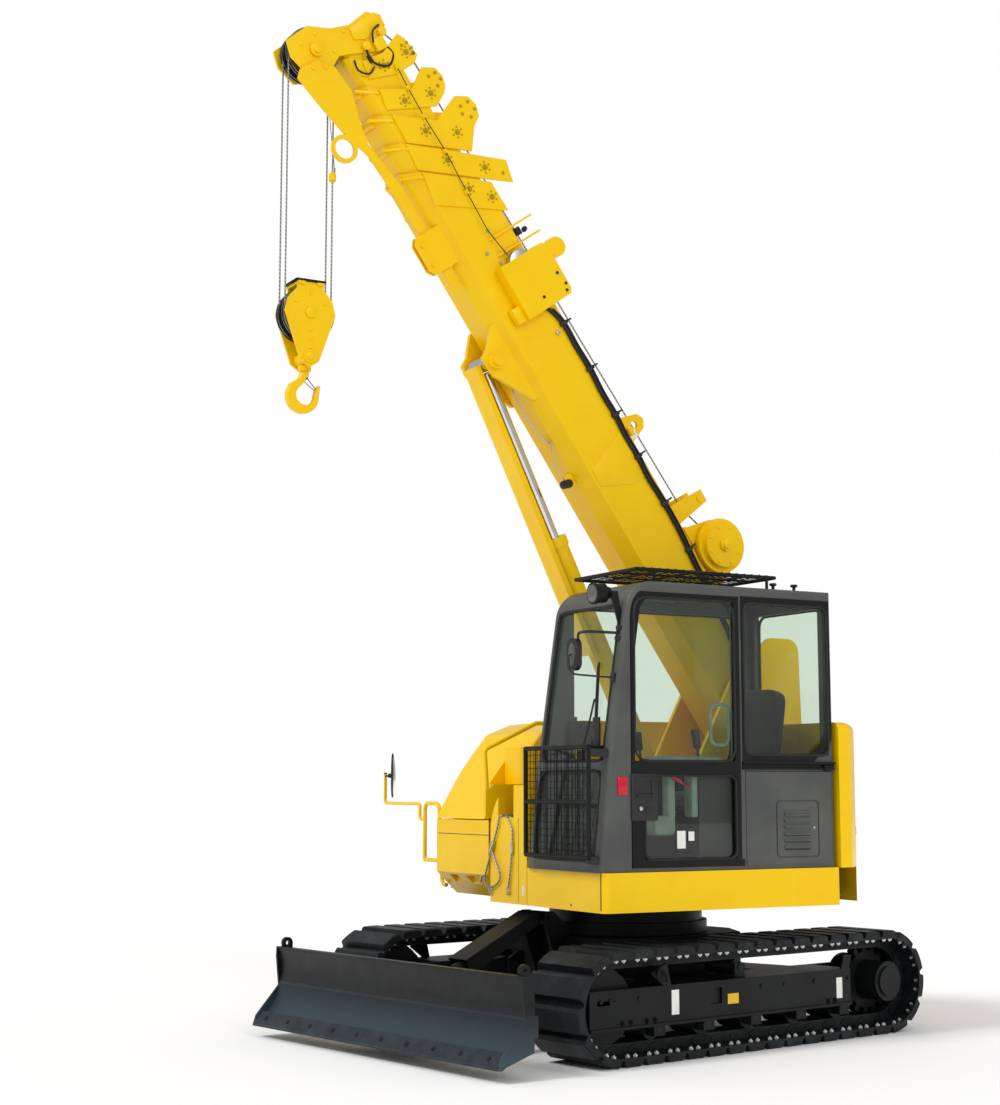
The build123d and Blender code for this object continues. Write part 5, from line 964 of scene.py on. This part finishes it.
shell = dish("right_mirror_shell", PLASTIC, 0.052, 0.15, (0.004, 0.014), (-0.004, -0.006))
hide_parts("mirror_right")
dish("right_mirror_glass", CHROME, 0.046, 0.138, (0.006, 0.0138), (0.004, 0.012))
rod((-1.82, -0.775, 1.545), (-1.702, -0.79, 1.548), 0.007, 10, 0.002)
rod((-1.712, -0.805, 1.548), (-1.7, -0.785, 1.548), 0.015, 12, 0.003)
stud((-1.8155, -0.775, 1.525), 0.045 * Z, 0.0105, 12, 0.002)
piece("mirror_clamp", PLASTIC, "upper")

tube([(x, front_y(z) - 0.012, z) for x, z in ((0.8, 1.66), (0.835, 1.8), (0.868, 1.965))], 0.006, 8)
for stand, inset, radius in ((0.004, 0, 0.0075), (-0.005, 0.02, 0.005)):
    foot, top = ((x, front_y(z) + stand, z + shift)
        for x, z, shift in ((0.905, 1.735, inset), (0.845, 2.175, -inset)))
    rod(foot, top, radius, 8, 0.001)
block((0.775, front_y(1.63) - 0.022, 1.625), (0.825, front_y(1.63) + 0.006, 1.68), 0.008)
block((0.925, front_y(1.72) - 0.03, 1.69), (0.985, front_y(1.72) - 0.008, 1.86), 0.008)
piece("wiper", PLASTIC, "upper")

for y in (0.476, 0.634):
    stud((0.92, y, 2.6315), 0.0365 * Z, 0.01, 12, 0.002)
    stud((0.92, y, 2.668), 0.016 * Z, 0.022, 16, 0.004)
for z in (1.66, 1.073):
    block((1.014, -0.918, z - 0.022), (1.062, front_y(z) - 0.0005, z + 0.022), 0.006)
for z in (2.3, 2.36):
    block((1.014, front_y(z) - 0.02, z - 0.012), (1.048, front_y(z) + 0.004, z + 0.012), 0.004)
piece("cab_knobs_and_clamps", PLASTIC, "upper")

# %% [markdown]
# Through the glass one sees the driver's place: a suspension seat with a crowned cushion and
# back, a pale left console with its lever, a curved grab rail and a display on the right
# front post. Padding starts as a subdivided block whose middle swells and whose edges
# stay tucked in, as foam does under a sewn cover.

# %% Seat
def pad(low, high, swell, place=LEVEL, cuts=14):
    """A padded block: its faces crown towards their middle and its corners stay tight."""
    work = bmesh.new()
    low, high = Vector(low), Vector(high)
    middle, half = (low + high) / 2, (high - low) / 2
    bmesh.ops.create_cube(work, size=1.0,
        matrix=Matrix.Translation(middle) @ Matrix.Diagonal((*(high - low), 1)))
    bmesh.ops.subdivide_edges(work, edges=work.edges[:], cuts=cuts, use_grid_fill=True)
    for vert in work.verts:
        share = [(vert.co[i] - middle[i]) / half[i] for i in range(3)]
        for i in range(3):
            a, b = (abs(share[k]) for k in range(3) if k != i)
            crown = (1 - a ** 4) * (1 - b ** 4) * (abs(share[i]) > 0.98)
            vert.co[i] = middle[i] + share[i] * (half[i] * (1 - 0.1 * max(a, b) ** 8) + swell * crown)
    work.transform(place)
    mesh = bpy.data.meshes.new("pad_work")
    work.to_mesh(mesh)
    work.free()
    bm.from_mesh(mesh)
    bpy.data.meshes.remove(mesh)


SEAT_X = 0.6775
pad((SEAT_X - 0.225, -0.035, 1.345), (SEAT_X + 0.225, 0.425, 1.44), 0.012)
cushion = piece("seat_cushion", CLOTH, "upper", crease=60)
lean = Matrix.Translation((SEAT_X, 0.46, 1.45)) @ Matrix.Rotation(radians(-9), 4, "X")
pad((-0.215, -0.045, 0.02), (0.215, 0.045, 0.6), 0.012, lean)
back = piece("seat_back", CLOTH, "upper", crease=60)
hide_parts("seat")
block((SEAT_X - 0.19, 0.05, 1.055), (SEAT_X + 0.19, 0.42, 1.075), 0.006)
for x in (SEAT_X - 0.17, SEAT_X + 0.17):
    block((x - 0.02, 0.06, 1.075), (x + 0.02, 0.41, 1.1), 0.006)
for i in range(6):  # the bellows' folds are narrow and wide by turns
    fold, z = 0.006 * (i % 2), 1.1 + 0.038 * i
    block((SEAT_X - 0.17 + fold, 0.07 + fold, z), (SEAT_X + 0.17 - fold, 0.4 - fold, z + 0.038), 0.01)
block((SEAT_X - 0.2, 0.0, 1.326), (SEAT_X + 0.2, 0.42, 1.346), 0.008)
piece("seat_base", PLASTIC, "upper")

# %% [markdown]
# The controls stand on the consoles. Levers are thin tapered rods with rounded grips; the
# red knob on the safety lever is the one bright spot inside.

# %% Cab controls
for side in (-1, 1):
    x = SEAT_X + side * 0.3
    block((x - 0.05, -0.2, 1.5605), (x + 0.05, 0.3, 1.6), 0.014)
    block((x - 0.042, -0.205, 1.3), (x + 0.042, -0.16, 1.56), 0.012)
block((0.915, -0.345, 1.28), (0.985, -0.29, 1.585), 0.018)
block((0.88, -0.44, 1.195), (0.99, -0.29, 1.31), 0.028)
block((0.925, -0.48, 1.585), (1.02, 0.02, 1.645), 0.022)
piece("console_tops", CONSOLE, "upper")
for side in (-1, 1):
    x = SEAT_X + side * 0.3
    rod((x, -0.12, 1.6), (x, -0.135, 1.7), 0.01, 12, 0.002, tip=0.007)
    rod((x, -0.132, 1.69), (x, -0.152, 1.8), 0.021, 16, 0.008, tip=0.026)
block((0.345, -0.62, 1.7), (0.365, -0.42, 1.86), 0.01)
stud((0.355, -0.52, 1.58), 0.14 * Z, 0.014, 12, 0.003)
for x in (0.62, 0.74):
    rod((x, -0.6, 1.25), (x, -0.56, 1.42), 0.011, 12, 0.002)
block((0.34, -0.78, 1.0435), (1.02, 0.74, 1.052), 0.003)
block((0.345, 0.56, 1.052), (1.01, 0.742, 1.6), 0.02)
piece("cab_controls", PLASTIC, "upper")
seal(side_rect(1.02, -0.07, 0.06, 1.71, 1.945), 0.05, 0.01, 10)
hose(at_x(0.93, (-0.05, 1.052), (-0.05, 1.27), (-0.02, 1.345), (0.04, 1.33), (0.12, 1.22)), 0.02, 0.011, 10)
stud((1.04, 0.072, 1.6), 0.95 * Z, 0.009, 12, 0.002)
piece("cab_grab_rails", CONSOLE, "upper")
KNOB = (0.995, -0.265, 1.5)
rod(KNOB, (0.995, -0.325, 1.535), 0.013, 14, 0.005)
rod(KNOB, (0.995, -0.13, 1.42), 0.006, 8, 0.001)
piece("safety_lever", RED, "upper")

# %% [markdown]
# Black film surrounds the rear side window, and its lower rear corner is cut on the slant. A
# frame is a row of quads between an outer and an inner outline, given a little thickness.

# %% Window surround
def frame_plate(outer, inner, depth):
    """A flat frame between two outlines with as many corners each, thickened by depth."""
    outer, inner = ([bm.verts.new(corner) for corner in line] for line in (outer, inner))
    made = [bm.faces.new((outer[i - 1], outer[i], inner[i], inner[i - 1])) for i in range(len(outer))]
    solid = bmesh.ops.extrude_face_region(bm, geom=made)["geom"]
    bmesh.ops.translate(bm, vec=depth, verts=kept(solid, bmesh.types.BMVert))


frame_plate(at_x(1.0715, (0.118, 1.621), (0.64, 1.621), (0.77, 1.745), (0.77, 2.575), (0.118, 2.575)),
            at_x(1.0715, (0.14, 1.662), (0.61, 1.662), (0.744, 1.78), (0.744, 2.53), (0.14, 2.53)),
            0.003 * X)
piece("window_surround", FRAME_BLACK, "upper")

# %% [markdown]
# Folded sheet shows its joints as dark lines. The seams of the skirt and of the nose are thin
# strips of shadow gap sealant, and a blank label sits between them.

# %% Skirt and nose seams
SKIRT_Y = -0.846
SEAMS = [  # two corners seen from the front, how far it stands proud, and its bevel
    (1.053, 0.8, 1.061, 1.0005, 0.0012, 0.0008), (0.738, 0.808, 0.75, 0.822, 0.0012, 0.0008),
    (-0.206, 1.135, -0.202, 1.285, 0.0012, 0.0008), (-0.884, 1.178, -0.214, 1.182, 0.0014, 0.0008),
    (0.15, 0.8, 0.153, 1.29, 0.0012, 0.0006),
]
for x0, z0, x1, z1, proud, edge in SEAMS:
    block((x0, SKIRT_Y - proud, z0), (x1, SKIRT_Y + 0.003, z1), edge, 1)
piece("sheet_seams", RUBBER, "upper")
block((0.196, SKIRT_Y - 0.0016, 0.838), (0.217, SKIRT_Y + 0.002, 0.896), 0.0007, 1)
piece("skirt_label", LABEL, "upper")

# %% [markdown]
# Two short slings hang at the nose ready for use: their loops lie over the cradle's floor and
# their shackles hang free. Each route is one spline, and the rope's tube follows its points.

# %% Slings
SLING_RADIUS = 0.0055
SLING_1 = [(-0.05, -0.79, 1.302), (-0.056, -0.858, 1.312), (-0.075, -0.8575, 1.245), (-0.11, -0.8575, 1.18),
           (-0.15, -0.858, 1.095), (-0.215, -0.858, 0.985), (-0.246, -0.858, 0.915),
           (-0.222, -0.858, 0.874), (-0.178, -0.858, 0.868), (-0.11, -0.859, 0.882),
           (-0.052, -0.86, 0.914), (-0.044, -0.861, 0.956), (-0.092, -0.863, 1.02),
           (-0.139, -0.869, 1.095)]
SLING_2 = [(0.0, -0.79, 1.302), (0.01, -0.858, 1.314), (0.07, -0.857, 1.255),
           (0.102, -0.857, 1.215), (0.096, -0.857, 1.15), (0.088, -0.857, 1.06),
           (0.068, -0.857, 0.955), (0.046, -0.857, 0.872)]


def spline_points(route):
    """The points of the smooth line that Blender lays along a route, its ends included."""
    curve = bpy.data.curves.new("route", "CURVE")
    curve.dimensions = "3D"
    spline = curve.splines.new("NURBS")
    spline.points.add(len(route) - 1)
    for point, place in zip(spline.points, route):
        point.co = tuple(UPPER @ Vector(place)) + (1.0,)
    spline.order_u = 3
    spline.use_endpoint_u = True
    spline.resolution_u = 8
    holder = bpy.data.objects.new("route", curve)
    mesh = bpy.data.meshes.new_from_object(holder)
    points = [vert.co.copy() for vert in mesh.vertices]
    bpy.data.meshes.remove(mesh)
    bpy.data.objects.remove(holder)
    bpy.data.curves.remove(curve)
    return points


def shackle(top, size):
    """A bow shackle that hangs from top: a bow, two eyes and a pin."""
    x, y, z = top
    angles = [radians(a) for a in range(-120, 121, 15)]
    bow = [(x + size * sin(a), y, z - size * 0.9 + size * cos(a)) for a in angles]
    ends = [(x + side * size * 0.62, y, z - size * 2.1) for side in (-1, 1)]
    hose([ends[0], *bow, ends[1]], 0.006, size * 0.24)
    for side in (-1, 1):
        stud((x + side * size * 0.62 - 0.004, y, z - size * 2.2), 0.008 * X, size * 0.42, 14, 0.0015)
    stud((x - size, y, z - size * 2.2), 2 * size * X, size * 0.2, 10, 0.001)


for number, route, ferrule, hang in (
        ("1", SLING_1, ((-0.158, -0.862, 1.082), (-0.126, -0.86, 1.146), 0.013), (-0.17, -0.858, 0.876)),
        ("2", SLING_2, ((0.0905, -0.857, 1.075), (0.095, -0.857, 1.145), 0.0105), (0.045, -0.857, 0.88))):
    points = spline_points(route)
    tube(points, SLING_RADIUS, 10)
    sling = piece("sling_" + number, ROPE, "upper", place=LEVEL)
    rod(*ferrule, 14, 0.003)
    parts = [piece("sling_ferrule_" + number, ZINC, "upper")]
    shackle(hang, 0.017)
    parts.append(piece("shackle_" + number, ZINC, "upper"))
    length = round(sum((b - a).length for a, b in zip(points, points[1:])), 3)
    print("its rope is", length, "m long")
hose([(-0.25, SKIRT_Y + 0.004, 0.94), (-0.262, SKIRT_Y - 0.016, 0.938), (-0.276, SKIRT_Y - 0.02, 0.92),
      (-0.284, SKIRT_Y - 0.016, 0.898)], 0.01, 0.006)
for x in (-0.05, 0):
    stud((x, -0.78, 1.2935), -0.04 * Y, 0.012, 14, 0.003)
piece("sling_hook", ZINC, "upper")

# %% [markdown]
# The blade wears at its foot, so a harder edge plate is bolted on there. Countersunk bolts
# with square necks show as small round heads in a row.

# %% Blade edge
foot, top = Vector((0, -1.954, 0.065)), Vector((0, -1.779, 0.2915))
rise = (top - foot).normalized()
out = Vector((0, -rise.z, rise.y))
corners = [foot + rise * a + out * b for a, b in ((0.004, 0), (0.1, 0), (0.1, 0.009), (0.012, 0.009))]
plate([corner - 1.15 * X for corner in corners], 2.3 * X)
piece("blade_edge", EDGE, "blade")
for i in range(10):
    stud(foot + rise * 0.055 + out * 0.007 + (-1.05 + 2.1 * i / 9) * X, out * 0.0065, 0.014, 16, 0.003)
piece("blade_bolts", IRON, "blade")

# %% [markdown]
# Under each section's mouth a folded lip stiffens the corner between the side and the slanted
# underside. It leans with the mouth, so its outline is laid along the same slant.

# %% Collar lips
LIP_DROPS = (0.008, 0.022, 0.036, 0.034)
MOUTH_SLANT = 0.648
FLAT = 0.1
for n, (body, drop) in enumerate(zip(SECTION_BODIES, LIP_DROPS)):
    half, low, bottom = 0.19 - n * NEST, -0.195 + n * NEST, -0.26 + n * NEST
    outline = [(half - 0.004, low + 0.014), (half + 0.011, low + 0.014), (half + 0.011, low - 0.006),
               (FLAT + 0.006, bottom - drop - 0.004), (FLAT - 0.022, bottom - drop - 0.004),
               (FLAT - 0.022, bottom + 0.002), (FLAT, bottom + 0.002), (half - 0.004, low + 0.004)]
    mouth = MOUTH_S + n * SECTION_STEP - 0.046
    for side in (-1, 1):
        plate([(side * x, mouth - MOUTH_SLANT * v, v) for x, v in outline], 0.02 * Y, 0.003)
    piece("collar_lips_%d" % (n + 1), YELLOW, body)

# %% [markdown]
# A thin cord tells the safety computer how far the boom is out. It runs from a reel in the
# cover box through an eye on every collar, in straight fixed stretches.

# %% Length cord
LENGTH_EYES = [
    ("boom", (0.22, 3.623, 0.022)), ("section_2", (0.2, 3.895, 0.048)), ("section_3", (0.18, 4.14, 0.05)),
    ("section_4", (0.16, 4.33, 0.065)), ("section_5", (0.14, 4.47, 0.085)),
]
for body, (x, s, v) in LENGTH_EYES:
    for low, high in ((v - 0.01, v - 0.005), (v + 0.005, v + 0.01)):
        block((x - 0.02, s - 0.013, low), (x + 0.007, s + 0.013, high), 0.002)
    block((x + 0.003, s - 0.013, v - 0.01), (x + 0.007, s + 0.013, v + 0.01), 0.0015)
    piece("length_eye_" + body, YELLOW, body)
for (near, near_point), (far, far_point) in zip(LENGTH_EYES, LENGTH_EYES[1:]):
    stretch("length_cord_to_" + far, RUBBER, 0.003, near_point, far_point)
tube([LENGTH_EYES[0][1], (0.22, 3.361, 0.015), (0.222, 3.17, 0.05)], 0.003, 8)
piece("length_cord_base", RUBBER, "boom")

# %% [markdown]
# The winch's gear cover ends in a hexagonal boss with a ring of small screws.

# %% Winch cover
stud((0.258, WINCH_S, WINCH_V), 0.018 * X, 0.042, 6, 0.003)
stud((0.2755, WINCH_S, WINCH_V), 0.0105 * X, 0.026, 16, 0.003)
for a in turns(8)[:-1]:
    stud((0.258, WINCH_S + 0.118 * cos(a + 0.2), WINCH_V + 0.118 * sin(a + 0.2)), 0.006 * X, 0.009, 6,
        0.001)
piece("winch_cover_bolts", YELLOW, "boom")

# %% [markdown]
# The far side isn't in the picture, so it follows common practice: service doors with rubber
# seams and flush latches, louvres for the cooler, a filler cap and two red tail lamps.

# %% Bodywork of the far side
SIDE = -1.0
TAIL = 1.41
seal(side_rect(SIDE, 0.02, 0.74, 1.03, 1.8), 0.05, 0.0035)
seal(at_x(SIDE, (-0.58, 1.31), (-0.04, 1.31), (-0.04, 1.78), (-0.36, 1.78)), 0.04, 0.0035)
piece("door_seams", RUBBER, "upper")
for i in range(11):
    z = 1.32 + 0.036 * i
    block((SIDE - 0.011, 0.16, z), (SIDE + 0.002, 0.6, z + 0.016), 0.005)
piece("cooler_louvres", YELLOW, "upper")
for y, z in ((0.09, 1.2), (0.09, 1.72), (-0.12, 1.4)):
    stud((SIDE + 0.001, y, z), -0.006 * X, 0.028, 20, 0.002)
    block((SIDE - 0.009, y - 0.008, z - 0.02), (SIDE - 0.004, y + 0.008, z + 0.02), 0.003)
stud((-0.8, 0.1, 1.889), 0.016 * Z, 0.055, 28, 0.003)
stud((-0.8, 0.1, 1.904), 0.031 * Z, 0.045, 12, 0.006)
piece("latches_and_filler_cap", PLASTIC, "upper")
for number, angle in (("right", 34), ("left", -34)):
    block((-0.06, TAIL - 0.003, 1.18), (0.06, TAIL + 0.005, 1.23), 0.004)
    piece("tail_lamp_" + number, RED, "upper", place=UPPER @ Matrix.Rotation(radians(angle), 4, "Z"))

# %% [markdown]
# The camera stands where the photographer stood: low, in front and to the crane's left,
# looking slightly up. Position and lens come from lines of known length in the picture.

# %% Camera
IMAGE_HEIGHT_PX = 1105
FOCAL_PX = 1832.8
camera = bpy.data.objects.new("camera", bpy.data.cameras.new("camera"))
bpy.context.scene.collection.objects.link(camera)
camera.data.sensor_width = 36.0
camera.data.lens = FOCAL_PX / IMAGE_HEIGHT_PX * camera.data.sensor_width
camera.data.clip_end = 200.0
camera.location = (8.427, -7.8753, 1.4696)
camera.rotation_euler = (radians(90 + 7.3), 0, radians(50.7837))
bpy.context.scene.camera = camera
print("lens", round(camera.data.lens, 2), "mm")

# %% [markdown]
# A studio: a pale floor that takes the shadow, an even white sky that shines less in what is
# glossy, a soft lamp high in front for the tops, and a weaker one for the left side.

# %% Stage and light
bmesh.ops.create_grid(bm, x_segments=1, y_segments=1, size=60.0)
mesh = bpy.data.meshes.new("floor")
bm.to_mesh(mesh)
bm.free()
floor = bpy.data.objects.new("floor", mesh)
bpy.context.scene.collection.objects.link(floor)
material, node, _ = start("pale_floor")
mesh.materials.append(shaded(material, node, {"Base Color": "#fbfbfb", "Roughness": 0.9,
    "Specular IOR Level": 0.0}))

SKY_LIGHT, SKY_SHINE = 0.66, 0.5  # for diffuse rays, and for glossy rays
world = bpy.data.worlds.new("studio")
bpy.context.scene.world = world
world.use_nodes = True
world.node_tree.nodes.clear()
node = partial(add, world.node_tree)
ray = node("LightPath").outputs
seen = node("Math", {0: ray["Is Camera Ray"], 1: ray["Is Transmission Ray"]}, operation="MAXIMUM")
others = node("MapRange", {0: ray["Is Glossy Ray"], 3: SKY_LIGHT, 4: SKY_SHINE})
strength = node("MapRange", {0: seen, 3: others, 4: 1.0})
node("OutputWorld", {0: node("Background", {"Color": "#ffffff", "Strength": strength})})

LAMPS = [("key", (-2.0, -10.0, 12.0), 1.35, 14), ("side", (12.0, -2.0, 6.0), 0.55, 25)]
for name, position, power, softness in LAMPS:
    lamp = bpy.data.objects.new(name, bpy.data.lights.new(name, "SUN"))
    bpy.context.scene.collection.objects.link(lamp)
    lamp.location = position
    lamp.rotation_euler = Vector(position).to_track_quat("Z", "Y").to_euler()
    lamp.data.energy = power
    lamp.data.angle = radians(softness)
bpy.context.scene.view_settings.view_transform = "Standard"
print("lamps", [lamp[0] for lamp in LAMPS])
